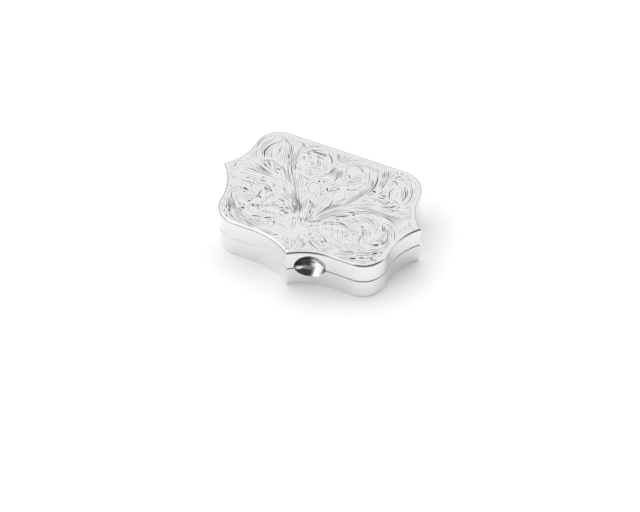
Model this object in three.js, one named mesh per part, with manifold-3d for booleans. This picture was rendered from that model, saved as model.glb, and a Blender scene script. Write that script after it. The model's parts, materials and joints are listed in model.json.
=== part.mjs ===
// A small silver pill box: a shallow base and an equally deep lid with one shaped outline,
// joined by a seven-knuckle hinge along the straight back edge.
// Millimetres. +Z is up, +X to the right along the length, and the cusp in the middle of the
// front points to -Y. The origin is on the surface the box stands on, under its middle.

import * as THREE from "three";
import { mergeVertices } from "three/addons/utils/BufferGeometryUtils.js";
import Module from "manifold-3d";

// ---- driving dimensions ----

// outline, seen from above
const LENGTH = 48.0; // from tip to tip of the side cusps
const SIDE_X = 20.1; // half the length at the rounded corners
const FRONT_TO_BACK = 30.25; // from the front edge to the back edge
const CORNER_R = 5.8;
const FRONT_CUSP_OUT = 3.15; // how far the front cusp stands out of the front edge
const FRONT_CUSP_HALF = 9.5; // where its hollow flanks run into the front edge
const SIDE_CUSP_TO_BACK = 14.65; // from the side cusps to the back edge

// heights
const HEIGHT = 10.5;
const JOINT_Z = HEIGHT / 2; // the lid and the base are equally deep
const JOINT_GAP = 0.06; // the fine line between them

// silver sheet
const PLATE = 0.7; // top and bottom plates
const SHEET = 0.6; // walls
const FIT = 0.08; // between the bezel and the walls
const BEZEL = 0.44;
const BEZEL_STANDS = 1.2; // above the joint, inside the closed lid

// thumb scoop in the right flank of the front cusp
const SCOOP_X = 4.6;
const SCOOP_Z = 5.85;
const SCOOP_RIM = 3.35; // half its height
const SCOOP_DEPTH = 1.9;
const SCOOP_WALL = 0.5;
const SCOOP_SEAM = 0.05; // solder seam between the dish and the wall
const SCOOP_CLEAR = 0.4; // the bezel stops this far from the dish

// hinge
const KNUCKLES = 7;
const KNUCKLE_LENGTH = 3.7;
const KNUCKLE_SPACE = 0.08;
const KNUCKLE_R = 0.9;
const BORE_R = 0.45;
const PIN_R = 0.4;
const PLUG_R = 0.43;
const PLUG_LENGTH = 0.8;
const CHANNEL_R = 0.95; // hollow in the walls and bearers that the knuckles lie in
const BEARER_IN = 1.6; // how far the bearers reach in from the back face
const BEARER_TALL = 1.7;

// fineness of the round stretches
const ARC_STEPS = 12;
const ROUND_STEPS = 32;

// ---- places worked out from them ----

const TIP_Y = -(FRONT_CUSP_OUT + FRONT_TO_BACK + KNUCKLE_R) / 2;
const FRONT_Y = TIP_Y + FRONT_CUSP_OUT;
const BACK_Y = FRONT_Y + FRONT_TO_BACK;
const CUSP_Y = BACK_Y - SIDE_CUSP_TO_BACK;
const CORNER_X = SIDE_X - CORNER_R;
const FRONT_CORNER_Y = FRONT_Y + CORNER_R;
const BACK_CORNER_Y = BACK_Y - CORNER_R;
const HINGE_LENGTH = KNUCKLES * KNUCKLE_LENGTH + (KNUCKLES - 1) * KNUCKLE_SPACE;

const SIDE_CUSP_OUT = LENGTH / 2 - SIDE_X;
const FRONT_HOLLOW_R = hollowRadius(FRONT_CUSP_HALF, FRONT_CUSP_OUT);
const LOW_HOLLOW_R = hollowRadius(CUSP_Y - FRONT_CORNER_Y, SIDE_CUSP_OUT);
const HIGH_HOLLOW_R = hollowRadius(BACK_CORNER_Y - CUSP_Y, SIDE_CUSP_OUT);

const LID_LOW = JOINT_Z + JOINT_GAP / 2;
const LID_HIGH = HEIGHT - PLATE;
const BASE_LOW = PLATE;
const BASE_HIGH = JOINT_Z - JOINT_GAP / 2;

// ---- finishes ----

const polishedSilver = () => new THREE.MeshStandardMaterial({ color: 0xdadada, roughness: 0.18, metalness: 1 });
const engravedSilver = () => new THREE.MeshStandardMaterial({ color: 0xd4d4d4, roughness: 0.3, metalness: 1 });
const innerSilver = () => new THREE.MeshStandardMaterial({ color: 0xcfcfcd, roughness: 0.4, metalness: 1 });
const pinSteel = () => new THREE.MeshStandardMaterial({ color: 0x9a9a9c, roughness: 0.35, metalness: 1 });

// ---- outline ----

// Radius of an arc that leaves an edge at a tangent and stands "out" proud of it "along" further on.
function hollowRadius(along, out) {
  return (along ** 2 + out ** 2) / (2 * out);
}

function arc(centre, radius, from, to) {
  const points = [];
  for (let i = 0; i <= ARC_STEPS; i += 1) {
    const angle = from + ((to - from) * i) / ARC_STEPS;
    points.push(new THREE.Vector2(centre.x + radius * Math.cos(angle), centre.y + radius * Math.sin(angle)));
  }
  return points;
}

const frontHollow = new THREE.Vector2(FRONT_CUSP_HALF, FRONT_Y - FRONT_HOLLOW_R);
const lowHollow = new THREE.Vector2(SIDE_X + LOW_HOLLOW_R, FRONT_CORNER_Y);
const highHollow = new THREE.Vector2(SIDE_X + HIGH_HOLLOW_R, BACK_CORNER_Y);
const frontCorner = new THREE.Vector2(CORNER_X, FRONT_CORNER_Y);
const backCorner = new THREE.Vector2(CORNER_X, BACK_CORNER_Y);

// The right-hand cusp of the outline moved in by "inset": where the two hollows beside it cross.
function sideTip(inset) {
  const between = highHollow.clone().sub(lowHollow);
  const gap = between.length();
  const r1 = LOW_HOLLOW_R + inset;
  const r2 = HIGH_HOLLOW_R + inset;
  const along = (gap ** 2 + r1 ** 2 - r2 ** 2) / (2 * gap);
  const aside = Math.sqrt(r1 ** 2 - along ** 2);
  const direction = between.divideScalar(gap);
  const normal = new THREE.Vector2(-direction.y, direction.x);
  return lowHollow.clone().addScaledVector(direction, along).addScaledVector(normal, aside);
}

// From the front tip to the right-hand tip, moved in by "inset".
function frontRun(inset) {
  const tip = sideTip(inset).sub(lowHollow);
  const hollowR = FRONT_HOLLOW_R + inset;
  return [
    ...arc(frontHollow, hollowR, Math.PI - Math.acos(FRONT_CUSP_HALF / hollowR), Math.PI / 2),
    ...arc(frontCorner, CORNER_R - inset, -Math.PI / 2, 0),
    ...arc(lowHollow, LOW_HOLLOW_R + inset, Math.PI, Math.atan2(tip.y, tip.x)).slice(1),
  ];
}

// From the right-hand tip to the end of the straight back edge, moved in by "inset".
function sideRun(inset) {
  const tip = sideTip(inset).sub(highHollow);
  return [
    ...arc(highHollow, HIGH_HOLLOW_R + inset, Math.atan2(tip.y, tip.x), -Math.PI),
    ...arc(backCorner, CORNER_R - inset, 0, Math.PI / 2).slice(1),
  ];
}

function mirrored(points) {
  return points.map((p) => new THREE.Vector2(-p.x, p.y)).reverse();
}

function backRun(inset) {
  return [...sideRun(inset), ...mirrored(sideRun(inset))];
}

function wholeOutline(inset) {
  const points = [...frontRun(inset), ...backRun(inset).slice(1), ...mirrored(frontRun(inset)).slice(1)];
  return new THREE.Shape(points.slice(0, -1));
}

// ---- solids ----

const wasm = await Module();
wasm.setup();

function solid(geometry) {
  const bare = geometry.clone();
  bare.deleteAttribute("normal");
  bare.deleteAttribute("uv");
  const merged = mergeVertices(bare);
  const mesh = new wasm.Mesh({
    numProp: 3,
    vertProperties: new Float32Array(merged.attributes.position.array),
    triVerts: new Uint32Array(merged.index.array),
  });
  return new wasm.Manifold(mesh);
}

function geometryOf(manifold) {
  const mesh = manifold.getMesh();
  const geometry = new THREE.BufferGeometry();
  geometry.setAttribute("position", new THREE.BufferAttribute(new Float32Array(mesh.vertProperties), 3));
  geometry.setIndex(new THREE.BufferAttribute(new Uint32Array(mesh.triVerts), 1));
  geometry.computeVertexNormals();
  return geometry;
}

function upright(shape, low, high) {
  const geometry = new THREE.ExtrudeGeometry(shape, { depth: high - low, bevelEnabled: false });
  return geometry.translate(0, 0, low);
}

// A strip of sheet that follows one run of the outline between two insets.
function strip(run, outer, inner, low, high) {
  return upright(new THREE.Shape([...run(outer), ...run(inner).reverse()]), low, high);
}

// A round bar or tube along X, centred on the hinge line.
function alongHinge(outerR, innerR, length, middleX) {
  const shape = new THREE.Shape().absarc(0, 0, outerR, 0, 2 * Math.PI);
  if (innerR > 0) {
    shape.holes.push(new THREE.Path().absarc(0, 0, innerR, 0, 2 * Math.PI));
  }
  const bar = new THREE.ExtrudeGeometry(shape, { depth: length, bevelEnabled: false, curveSegments: ROUND_STEPS / 2 });
  bar.translate(0, 0, -length / 2).rotateY(Math.PI / 2);
  return bar.translate(middleX, BACK_Y, JOINT_Z);
}

// ---- plates and walls ----

function plate(low, high) {
  return upright(wholeOutline(0), low, high);
}

const hingeChannel = solid(alongHinge(CHANNEL_R, 0, HINGE_LENGTH + 2 * KNUCKLE_SPACE, 0));

const leftFrontRun = (inset) => mirrored(frontRun(inset));

function backWall(low, high) {
  return geometryOf(solid(strip(backRun, 0, SHEET, low, high)).subtract(hingeChannel));
}

function leftWall(low, high) {
  return strip(leftFrontRun, 0, SHEET, low, high);
}

function rightWall(low, high) {
  return geometryOf(solid(strip(frontRun, 0, SHEET, low, high)).subtract(scoopBall(SCOOP_WALL + SCOOP_SEAM)));
}

// The bezel lines the base wall from one end of the hinge round the front to the other.
function bezel() {
  const run = (inset) => [...mirrored(sideRun(inset)), ...mirrored(frontRun(inset)).slice(1),
    ...frontRun(inset).slice(1), ...sideRun(inset).slice(1)];
  const lining = solid(strip(run, SHEET + FIT, SHEET + FIT + BEZEL, BASE_LOW, JOINT_Z + BEZEL_STANDS));
  return geometryOf(lining.subtract(scoopBall(SCOOP_WALL + SCOOP_CLEAR)));
}

// ---- thumb scoop ----

// The dish is part of a ball whose centre lies out in front of the wall.
// "more" makes the ball larger than the hollow itself.
function scoopBall(more) {
  const radius = (SCOOP_RIM ** 2 + SCOOP_DEPTH ** 2) / (2 * SCOOP_DEPTH);
  const aside = SCOOP_X - frontHollow.x;
  const onWall = new THREE.Vector3(SCOOP_X, frontHollow.y + Math.sqrt(FRONT_HOLLOW_R ** 2 - aside ** 2), SCOOP_Z);
  const outward = new THREE.Vector3(frontHollow.x, frontHollow.y, SCOOP_Z).sub(onWall).normalize();
  const centre = onWall.addScaledVector(outward, radius - SCOOP_DEPTH);
  const ball = new THREE.SphereGeometry(radius + more, ROUND_STEPS, ROUND_STEPS);
  return solid(ball.translate(centre.x, centre.y, centre.z));
}

function scoopHalf(low, high) {
  const inside = solid(upright(wholeOutline(0), low, high));
  return geometryOf(inside.intersect(scoopBall(SCOOP_WALL)).subtract(scoopBall(0)));
}

// ---- hinge ----

// A strip soldered inside the back wall, hollowed to seat the knuckles. "up" is 1 in the lid, -1 in the base.
function bearer(up) {
  const near = BACK_Y - SHEET - JOINT_GAP / 2;
  const far = BACK_Y - BEARER_IN;
  const section = [JOINT_Z + (up * JOINT_GAP) / 2, JOINT_Z + up * BEARER_TALL];
  const block = new THREE.BoxGeometry(HINGE_LENGTH, near - far, Math.abs(section[1] - section[0]));
  block.translate(0, (near + far) / 2, (section[0] + section[1]) / 2);
  return geometryOf(solid(block).subtract(hingeChannel));
}

function knuckleX(index) {
  return (index - (KNUCKLES - 1) / 2) * (KNUCKLE_LENGTH + KNUCKLE_SPACE);
}

function knuckle(index) {
  return alongHinge(KNUCKLE_R, BORE_R, KNUCKLE_LENGTH, knuckleX(index));
}

function pin() {
  return alongHinge(PIN_R, 0, HINGE_LENGTH - 2 * PLUG_LENGTH - 2 * KNUCKLE_SPACE, 0);
}

function plug(side) {
  return alongHinge(PLUG_R, 0, PLUG_LENGTH, (side * (HINGE_LENGTH - PLUG_LENGTH)) / 2);
}

// ---- the box ----

const box = new THREE.Group();
const base = new THREE.Group();
const lid = new THREE.Group();
box.add(base, lid);

function add(group, name, geometry, material) {
  const mesh = new THREE.Mesh(geometry, material);
  mesh.name = name;
  group.add(mesh);
}

add(base, "base_bottom_plate", plate(0, BASE_LOW), polishedSilver());
add(base, "base_wall_front_left", leftWall(BASE_LOW, BASE_HIGH), polishedSilver());
add(base, "base_wall_front_right", rightWall(BASE_LOW, BASE_HIGH), polishedSilver());
add(base, "base_wall_back", backWall(BASE_LOW, BASE_HIGH), polishedSilver());
add(base, "base_bezel", bezel(), innerSilver());
add(base, "base_scoop", scoopHalf(BASE_LOW, BASE_HIGH), polishedSilver());
add(base, "base_hinge_bearer", bearer(-1), innerSilver());

add(lid, "lid_top_plate", plate(LID_HIGH, HEIGHT), engravedSilver());
add(lid, "lid_wall_front_left", leftWall(LID_LOW, LID_HIGH), polishedSilver());
add(lid, "lid_wall_front_right", rightWall(LID_LOW, LID_HIGH), polishedSilver());
add(lid, "lid_wall_back", backWall(LID_LOW, LID_HIGH), polishedSilver());
add(lid, "lid_scoop", scoopHalf(LID_LOW, LID_HIGH), polishedSilver());
add(lid, "lid_hinge_bearer", bearer(1), innerSilver());

// The outermost knuckles belong to the base, and the lid's lie between the base's.
for (let i = 0; i < KNUCKLES; i += 1) {
  const owner = i % 2 === 0 ? "base" : "lid";
  add(owner === "base" ? base : lid, `${owner}_knuckle_${Math.floor(i / 2) + 1}`, knuckle(i), polishedSilver());
}

add(base, "hinge_pin", pin(), pinSteel());
add(base, "hinge_plug_left", plug(-1), polishedSilver());
add(base, "hinge_plug_right", plug(1), polishedSilver());

export default box;
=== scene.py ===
# %% [markdown]
# # A small silver pill box with an engraved lid
#
# The box is a shallow tray and an equally deep lid, cut to one shaped outline: rounded corners, a
# straight back for the hinge, and three pointed cusps. Everything is silver, so the shapes have to
# be right: polished metal has no colour of its own and shows only what its surface reflects.
#
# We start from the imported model, which fixes every size and place. Each visible piece is then
# rebuilt with the fine surface that it has on the bench: edges that a polishing mop has softened,
# a thumb scoop that flows out of the wall, and a lid whose scrollwork is really cut into the metal.

# %% Load the frame
import json
import math

import bpy
import numpy as np
from mathutils import Matrix, Vector
from mathutils.geometry import delaunay_2d_cdt


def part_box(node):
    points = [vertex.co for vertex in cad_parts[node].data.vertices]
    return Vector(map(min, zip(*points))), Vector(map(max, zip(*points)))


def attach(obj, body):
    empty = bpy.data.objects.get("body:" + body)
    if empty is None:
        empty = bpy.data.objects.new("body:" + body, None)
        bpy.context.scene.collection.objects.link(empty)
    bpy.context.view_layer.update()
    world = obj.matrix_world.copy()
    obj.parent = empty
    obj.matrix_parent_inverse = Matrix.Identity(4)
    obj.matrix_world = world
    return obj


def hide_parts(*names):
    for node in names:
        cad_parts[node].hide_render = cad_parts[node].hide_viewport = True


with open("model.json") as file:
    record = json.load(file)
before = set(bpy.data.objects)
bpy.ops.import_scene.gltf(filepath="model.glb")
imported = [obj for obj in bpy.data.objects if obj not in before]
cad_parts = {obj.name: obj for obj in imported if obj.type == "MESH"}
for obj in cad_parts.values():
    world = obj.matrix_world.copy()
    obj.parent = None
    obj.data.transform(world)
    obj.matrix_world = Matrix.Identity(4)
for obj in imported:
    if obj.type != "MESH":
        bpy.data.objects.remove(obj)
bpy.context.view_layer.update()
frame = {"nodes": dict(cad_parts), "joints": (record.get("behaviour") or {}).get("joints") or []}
MM = 0.001

# %% [markdown]
# ## Sizes that the pieces share
#
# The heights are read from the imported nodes, so they can't drift away from the model. The outline
# is drawn from the same few driving sizes that the model was drawn from, in millimetres.

# %% Sizes
JOINT = frame["joints"][0]
HINGE_Y = JOINT["pos_m"][1] / MM
JOINT_Z = JOINT["pos_m"][2] / MM


def span(node, axis):
    low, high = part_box(node)
    return low[axis] / MM, high[axis] / MM


BASE_PLATE_TOP = span("base_bottom_plate", 2)[1]
BASE_TOP = span("base_wall_back", 2)[1]
LID_BOTTOM = span("lid_wall_back", 2)[0]
LID_PLATE_LOW, HEIGHT = span("lid_top_plate", 2)
BEZEL_TOP = span("base_bezel", 2)[1]
TIP_Y, BACK_Y = span("lid_top_plate", 1)
TIP_X = span("lid_top_plate", 0)[1]
HINGE_HALF = span("base_hinge_bearer", 0)[1]

SIDE_X = 20.1
CORNER_R = 5.8
FRONT_CUSP_OUT = 3.15
FRONT_CUSP_HALF = 9.5
SIDE_CUSP_TO_BACK = 14.65
SHEET = 0.6
FIT = 0.08
BEZEL = 0.44
FRONT_Y = TIP_Y + FRONT_CUSP_OUT
CUSP_Y = BACK_Y - SIDE_CUSP_TO_BACK
print("joint at", round(JOINT_Z, 2), "front edge", round(FRONT_Y, 2), "side cusps at", round(CUSP_Y, 2))

# %% [markdown]
# ## The outline as arcs
#
# A silversmith scribes this shape with a compass: four rounded corners, and a pair of hollow arcs
# that meet in each cusp. Moving the whole outline inwards keeps every centre where it is and only
# changes the radii, so the inside of a wall, the bezel and the edge of the lid all follow from the
# same arcs. Each run has the same number of points at any inset, which lets us skin between them.


# %% Outline
def hollow_radius(along, out):
    return (along**2 + out**2) / (2 * out)


def arc(centre, radius, start, end, steps):
    angles = np.linspace(start, end, steps + 1)
    return np.column_stack([centre[0] + radius * np.cos(angles), centre[1] + radius * np.sin(angles)])


FRONT_R = hollow_radius(FRONT_CUSP_HALF, FRONT_CUSP_OUT)
LOW_R = hollow_radius(CUSP_Y - FRONT_Y - CORNER_R, TIP_X - SIDE_X)
HIGH_R = hollow_radius(BACK_Y - CORNER_R - CUSP_Y, TIP_X - SIDE_X)
FRONT_C = np.array([FRONT_CUSP_HALF, FRONT_Y - FRONT_R])
LOW_C = np.array([SIDE_X + LOW_R, FRONT_Y + CORNER_R])
HIGH_C = np.array([SIDE_X + HIGH_R, BACK_Y - CORNER_R])
ROUND = 36
SCOOP_STEPS = 130


def side_tip(inset):
    between = HIGH_C - LOW_C
    gap = np.hypot(*between)
    r1, r2 = LOW_R + inset, HIGH_R + inset
    along = (gap**2 + r1**2 - r2**2) / (2 * gap)
    aside = math.sqrt(r1**2 - along**2)
    step = between / gap
    return LOW_C + step * along + np.array([-step[1], step[0]]) * aside


def front_run(inset, steps=ROUND):
    tip = side_tip(inset) - LOW_C
    radius = FRONT_R + inset
    hollow = arc(FRONT_C, radius, math.pi - math.acos(FRONT_CUSP_HALF / radius), math.pi / 2, steps)
    corner = arc((SIDE_X - CORNER_R, FRONT_Y + CORNER_R), CORNER_R - inset, -math.pi / 2, 0, ROUND)
    side = arc(LOW_C, LOW_R + inset, math.pi, math.atan2(tip[1], tip[0]), ROUND)
    return np.concatenate([hollow, corner, side[1:]])


def side_run(inset):
    tip = side_tip(inset) - HIGH_C
    hollow = arc(HIGH_C, HIGH_R + inset, math.atan2(tip[1], tip[0]), -math.pi, ROUND)
    corner = arc((SIDE_X - CORNER_R, BACK_Y - CORNER_R), CORNER_R - inset, 0, math.pi / 2, ROUND)
    return np.concatenate([hollow, corner[1:]])


def mirrored(points):
    return points[::-1] * [-1, 1]


def back_run(inset):
    right = side_run(inset)
    edge = np.array([[HINGE_HALF + FIT, right[-1][1]]])
    return np.concatenate([right, edge, mirrored(edge), mirrored(right)])


def outline(inset):
    right = front_run(inset)
    sides = side_run(inset)
    loop = [right, sides[1:], mirrored(sides), mirrored(right)[1:]]
    return np.concatenate(loop)[:-1]


print("outline:", len(outline(0)), "points, side tip at", side_tip(0).round(2))

# %% [markdown]
# ## Turning points into sheet metal
#
# Sheet metal here is drawn as a profile of (inset, height) points that is carried along a run of the
# outline. `skin` gives the grid of points and `stack_faces` joins rings that lie on each other. Every
# piece ends up as a closed solid whose faces point outwards. Normals are smooth over soft bends and
# sharp over real corners, as on metal.

# %% Mesh builders
SOFT_BEND = math.radians(32)


def make_object(name, points, faces, material, smooth=True):
    mesh = bpy.data.meshes.new(name)
    mesh.from_pydata([tuple(p) for p in np.asarray(points) * MM], [], faces)
    mesh.materials.append(material)
    if smooth:
        mesh.shade_smooth()
        mesh.set_sharp_from_angle(angle=SOFT_BEND)
    piece = bpy.data.objects.new(name, mesh)
    bpy.context.scene.collection.objects.link(piece)
    print(f"{name}: {len(mesh.polygons)} faces")
    return piece


def lift(run, z):
    return np.column_stack([run, np.full(len(run), z)])


def skin(run, profile):
    """A grid of points: one row along the run for each (inset, height) of the profile."""
    return np.array([lift(run(inset), z) for inset, z in profile])


def stack_faces(rings, columns):
    faces = []
    for i in range(rings - 1):
        for j in range(columns):
            k = (j + 1) % columns
            faces.append((i * columns + j, i * columns + k, (i + 1) * columns + k, (i + 1) * columns + j))
    return faces


def rounding(radius, steps, z_edge, up):
    """Profile points of a rounded edge: from the upright face round to the flat one. up is 1 or -1."""
    turn = np.linspace(0, math.pi / 2, steps + 1)
    return [(radius * (1 - math.cos(t)), z_edge - up * radius * (1 - math.sin(t))) for t in turn]


# %% [markdown]
# ## Shader maths that reads like maths
#
# Node trees are hard to read as code. `Socket` wraps an output, so `1 - mask * 0.3` adds the Math
# nodes by itself, and `Tree.node` makes any other node from its type, its settings and its inputs.


# %% Shader helpers
class Socket:
    def __init__(self, tree, output):
        self.tree, self.output = tree, output

    def _maths(self, operation, first, second):
        return self.tree.node("ShaderNodeMath", {"operation": operation}, {0: first, 1: second})

    def __add__(self, other):
        return self._maths("ADD", self, other)

    def __sub__(self, other):
        return self._maths("SUBTRACT", self, other)

    def __rsub__(self, other):
        return self._maths("SUBTRACT", other, self)

    def __mul__(self, other):
        return self._maths("MULTIPLY", self, other)

    def __pow__(self, other):
        return self._maths("POWER", self, other)

    __radd__, __rmul__ = __add__, __mul__


class Tree:
    def __init__(self, node_tree):
        self.nodes, self.links = node_tree.nodes, node_tree.links
        self.nodes.clear()

    def node(self, kind, settings=None, inputs=None, output=0):
        made = self.nodes.new(kind)
        for key, value in (settings or {}).items():
            setattr(made, key, value)
        self.join(made, inputs or {})
        return Socket(self, made.outputs[output]) if len(made.outputs) else made

    def join(self, made, inputs):
        for key, value in inputs.items():
            if isinstance(value, Socket):
                self.links.new(value.output, made.inputs[key])
            else:
                made.inputs[key].default_value = value

    def between(self, value, low, high, new_low=0.0, new_high=1.0):
        limits = {1: low, 2: high, 3: new_low, 4: new_high}
        return self.node("ShaderNodeMapRange", {"clamp": True}, {0: value, **limits})

    def blend(self, factor, first, second):
        return self.node("ShaderNodeMix", {"data_type": "RGBA"}, {0: factor, 6: first, 7: second}, 2)

    def place(self, turn=(0, 0, 0), scale=(1, 1, 1)):
        where = self.node("ShaderNodeTexCoord", output=3)
        return self.node("ShaderNodeMapping", {}, {"Vector": where, "Rotation": turn, "Scale": scale})

    def noise(self, vector, scale, detail=2.0, roughness=0.5):
        values = {"Vector": vector, "Scale": scale, "Detail": detail, "Roughness": roughness}
        return self.node("ShaderNodeTexNoise", {}, values)


# %% [markdown]
# ## Silver
#
# Silver that is used and cleaned isn't a perfect mirror. Three things show: a skin of hair-fine
# scratches from cloths and pockets, a slow waviness where the sheet was dressed by hand, and a
# patchy haze where the polish is older. Scratches come from noise that is squeezed in one direction
# and cut down to its crests, at several angles, so that no direction wins.


# %% Silver materials
def scratches(tree, angles, fineness, amount):
    total = 0.0
    for k, angle in enumerate(angles):
        turned = tree.place((0.3 * k, 0.2 * k, math.radians(angle)), (fineness * 0.02, fineness, fineness))
        crest = tree.between(tree.noise(turned, 1.0, 3.0, 0.6), 0.60, 0.68)
        patch = tree.between(tree.noise(tree.place(), 260.0 + 70 * k, 1.0), 0.48, 0.6)
        total = crest * patch * amount + total
    return total


def silver(name, tint, roughness, haze, wave, scratch, cut_tone=None, with_grime_and_shade=False):
    material = bpy.data.materials.new(name)
    material.use_nodes = True
    tree = Tree(material.node_tree)
    where = tree.place()
    clouds = tree.noise(where, 90.0, 3.0, 0.55)
    grain = tree.noise(where, 2600.0, 2.0, 0.6)
    marks = scratches(tree, (12, 63, 105, 158), 5200.0, scratch)
    patchy = tree.between(clouds, 0.35, 0.7)
    dull = tuple(c * 0.93 for c in tint[:3]) + (1.0,)
    colour = tree.blend(patchy * 0.6 + marks * 0.2, tint, dull)
    rough = patchy * haze + marks * 0.25 + (grain * 0.04 + roughness)
    if with_grime_and_shade:
        # Painted grime and shade: a point attribute darkens the colour nearly to black along the joint and
        # over parts of the scoop.
        kept = tree.node("ShaderNodeAttribute", {"attribute_name": "grime_and_painted_shade"}, output=2)
        streaks = tree.noise(tree.place((0, 0, 0.3), (300.0, 300.0, 1500.0)), 1.0, 3.0, 0.6)
        kept = kept * tree.between(streaks, 0.25, 0.6, 0.8, 1.0)
        colour = tree.blend(kept, colour, (0.04, 0.039, 0.037, 1))
        rough = kept * 0.28 + rough
    if cut_tone:
        depth = tree.node("ShaderNodeAttribute", {"attribute_name": "cut"}, output=2)
        deep_tone = tuple(c * 0.15 for c in cut_tone[:3]) + (1.0,)
        tone = tree.blend(tree.between(depth, 0.25, 0.8), cut_tone, deep_tone)
        colour = tree.blend(tree.between(depth, 0.0, 0.14), colour, tone)
        rough = tree.between(depth, 0.0, 1.0, 0.0, 0.22) + rough
    slow = tree.noise(where, 70.0, 1.0, 0.4) * wave
    height = slow + marks * -0.0000016 + grain * 0.0000004
    bump = tree.node("ShaderNodeBump", {}, {"Strength": 1.0, "Distance": 1.0, "Height": height})
    shader = tree.node(
        "ShaderNodeBsdfPrincipled",
        {},
        {"Base Color": colour, "Metallic": 1.0, "Roughness": rough, "Normal": bump},
    )
    tree.node("ShaderNodeOutputMaterial", {}, {"Surface": shader})
    return material


# The polished silver carries the painted grime and shade of the walls.
POLISHED = silver("polished_silver", (0.885, 0.885, 0.88, 1), 0.05, 0.05, 0.000012, 0.4, with_grime_and_shade=True)
CUT_TONE = (0.13, 0.13, 0.128, 1)
# The lid's top is a darker copy of the same silver: painted shade, so that the top reads darker than the
# walls.
ENGRAVED_PAINTED_SHADE = silver("engraved_silver", (0.55, 0.55, 0.546, 1), 0.09, 0.06, 0.000012, 0.5, CUT_TONE)
INNER = silver("inner_silver", (0.77, 0.77, 0.75, 1), 0.26, 0.10, 0.000012, 0.3)
STEEL = silver("hinge_pin_steel", (0.50, 0.50, 0.51, 1), 0.30, 0.08, 0.000006, 0.3)

# %% [markdown]
# ## Drawing the scrollwork
#
# The lid is covered with acanthus scrolls: stems that spring from one point near the front, run
# out to the cusps and corners and curl up into volutes, with leaves growing off them. An engraver
# cuts every line with one push of a V-shaped graver. The cut starts as a hair, swells and lifts out
# again, so each line here is a centre line with a width that grows and fades.
#
# A picture or a bump map would give flat grey lines. Real cuts have two bright walls that catch
# light from different sides, so we cut them into the mesh. First we collect the cuts.

# %% The engraver's hand
hand = np.random.default_rng(7)
EDGE_R = 0.52
MARGIN = 0.75
cuts = []
FIELD = outline(MARGIN)


def inside(points, loop):
    x, y = points[:, 0:1], points[:, 1:2]
    a, b = loop, np.roll(loop, -1, axis=0)
    rises = (a[:, 1] > y) != (b[:, 1] > y)
    slope = (b[:, 0] - a[:, 0]) / np.where(b[:, 1] == a[:, 1], 1e-9, b[:, 1] - a[:, 1])
    crosses = rises & (x < a[:, 0] + (y - a[:, 1]) * slope)
    return crosses.sum(axis=1) % 2 == 1


def smooth_line(points, step=0.4):
    """A flowing line through the given points, with a point about every step."""
    p = np.asarray(points, float)
    p = np.concatenate([[2 * p[0] - p[1]], p, [2 * p[-1] - p[-2]]])
    line = []
    for k in range(1, len(p) - 2):
        count = max(2, int(np.hypot(*(p[k + 1] - p[k])) / step))
        t = np.linspace(0, 1, count, endpoint=False)[:, None]
        a = 2 * p[k]
        b = p[k + 1] - p[k - 1]
        c = 2 * p[k - 1] - 5 * p[k] + 4 * p[k + 1] - p[k + 2]
        d = -p[k - 1] + 3 * p[k] - 3 * p[k + 1] + p[k + 2]
        line.append(0.5 * (a + b * t + c * t**2 + d * t**3))
    return np.concatenate(line + [p[-2:-1]])


def along_of(line):
    """The direction of the line at each of its points."""
    along = np.gradient(line, axis=0)
    return along / np.maximum(np.hypot(along[:, 0], along[:, 1]), 1e-9)[:, None]


def normals_of(line):
    along = along_of(line)
    return np.column_stack([-along[:, 1], along[:, 0]])


def cut(line, width, belly=0.5):
    """Keeps one cut: pointed at both ends and widest at belly, a fraction of its length."""
    line = np.asarray(line, float)
    ok = inside(line, FIELD)
    if ok.sum() < 3:
        return
    starts = np.flatnonzero(np.diff(np.concatenate([[0], ok.astype(int), [0]])))
    runs = starts.reshape(-1, 2)
    first, last = max(runs, key=lambda r: r[1] - r[0])
    line = line[first:last]
    if len(line) < 3:
        return
    steps = np.concatenate([[0], np.cumsum(np.hypot(*np.diff(line, axis=0).T))])
    t = steps / steps[-1]
    bulge = math.log(0.5) / math.log(belly)
    half = width / 2 * np.sin(math.pi * t**bulge) ** 0.7
    half[0] = half[-1] = 0
    cuts.append((line, half))


def flow(points, width, belly=0.5, step=0.4):
    cut(smooth_line(points, step), width * hand.uniform(0.85, 1.15), belly)


def part_of(line, start, end):
    n = len(line) - 1
    return line[int(round(start * n)) : int(round(end * n)) + 1]


print("the field for the engraving is", round(2 * FIELD[:, 0].max(), 1), "mm long")

# %% [markdown]
# ### Strokes, leaves and volutes
#
# The whole pattern is built from a few habits of the hand: a single flowing cut, a bundle of lines
# that share the space between two guides, short cuts side by side that shade a patch, an acanthus
# leaf whose lobes lap over each other, and a patch of pecked dots that darkens the ground.


# %% Motifs
def resampled(points, count=60):
    """A flowing line through the points, as evenly spaced points."""
    line = smooth_line(points, 0.2)
    steps = np.concatenate([[0], np.cumsum(np.hypot(*np.diff(line, axis=0).T))])
    even = np.linspace(0, steps[-1], count)
    return np.column_stack([np.interp(even, steps, line[:, 0]), np.interp(even, steps, line[:, 1])])


def hairs(near, far, count, width, pauses=2):
    """Lines that share the space between two guides. Every third pause lifts the graver."""
    a, b = resampled(near), resampled(far)
    for share in np.linspace(0, 1, count):
        s = share + hand.uniform(-0.2, 0.2) / count
        line = a * (1 - s) + b * s
        first = hand.uniform(0, 0.14)
        last = 1 - hand.uniform(0, 0.16)
        marks = np.linspace(first, last, pauses // 3 + 2)
        marks[1:-1] += hand.uniform(-0.3, 0.3, len(marks) - 2) * (last - first) / (len(marks) - 1)
        for m0, m1 in zip(marks[:-1], marks[1:]):
            piece = part_of(line, m0 + 0.004, m1 - hand.uniform(0.0, 0.03))
            cut(piece, width * hand.uniform(0.6, 1.35), hand.uniform(0.35, 0.65))


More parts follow.
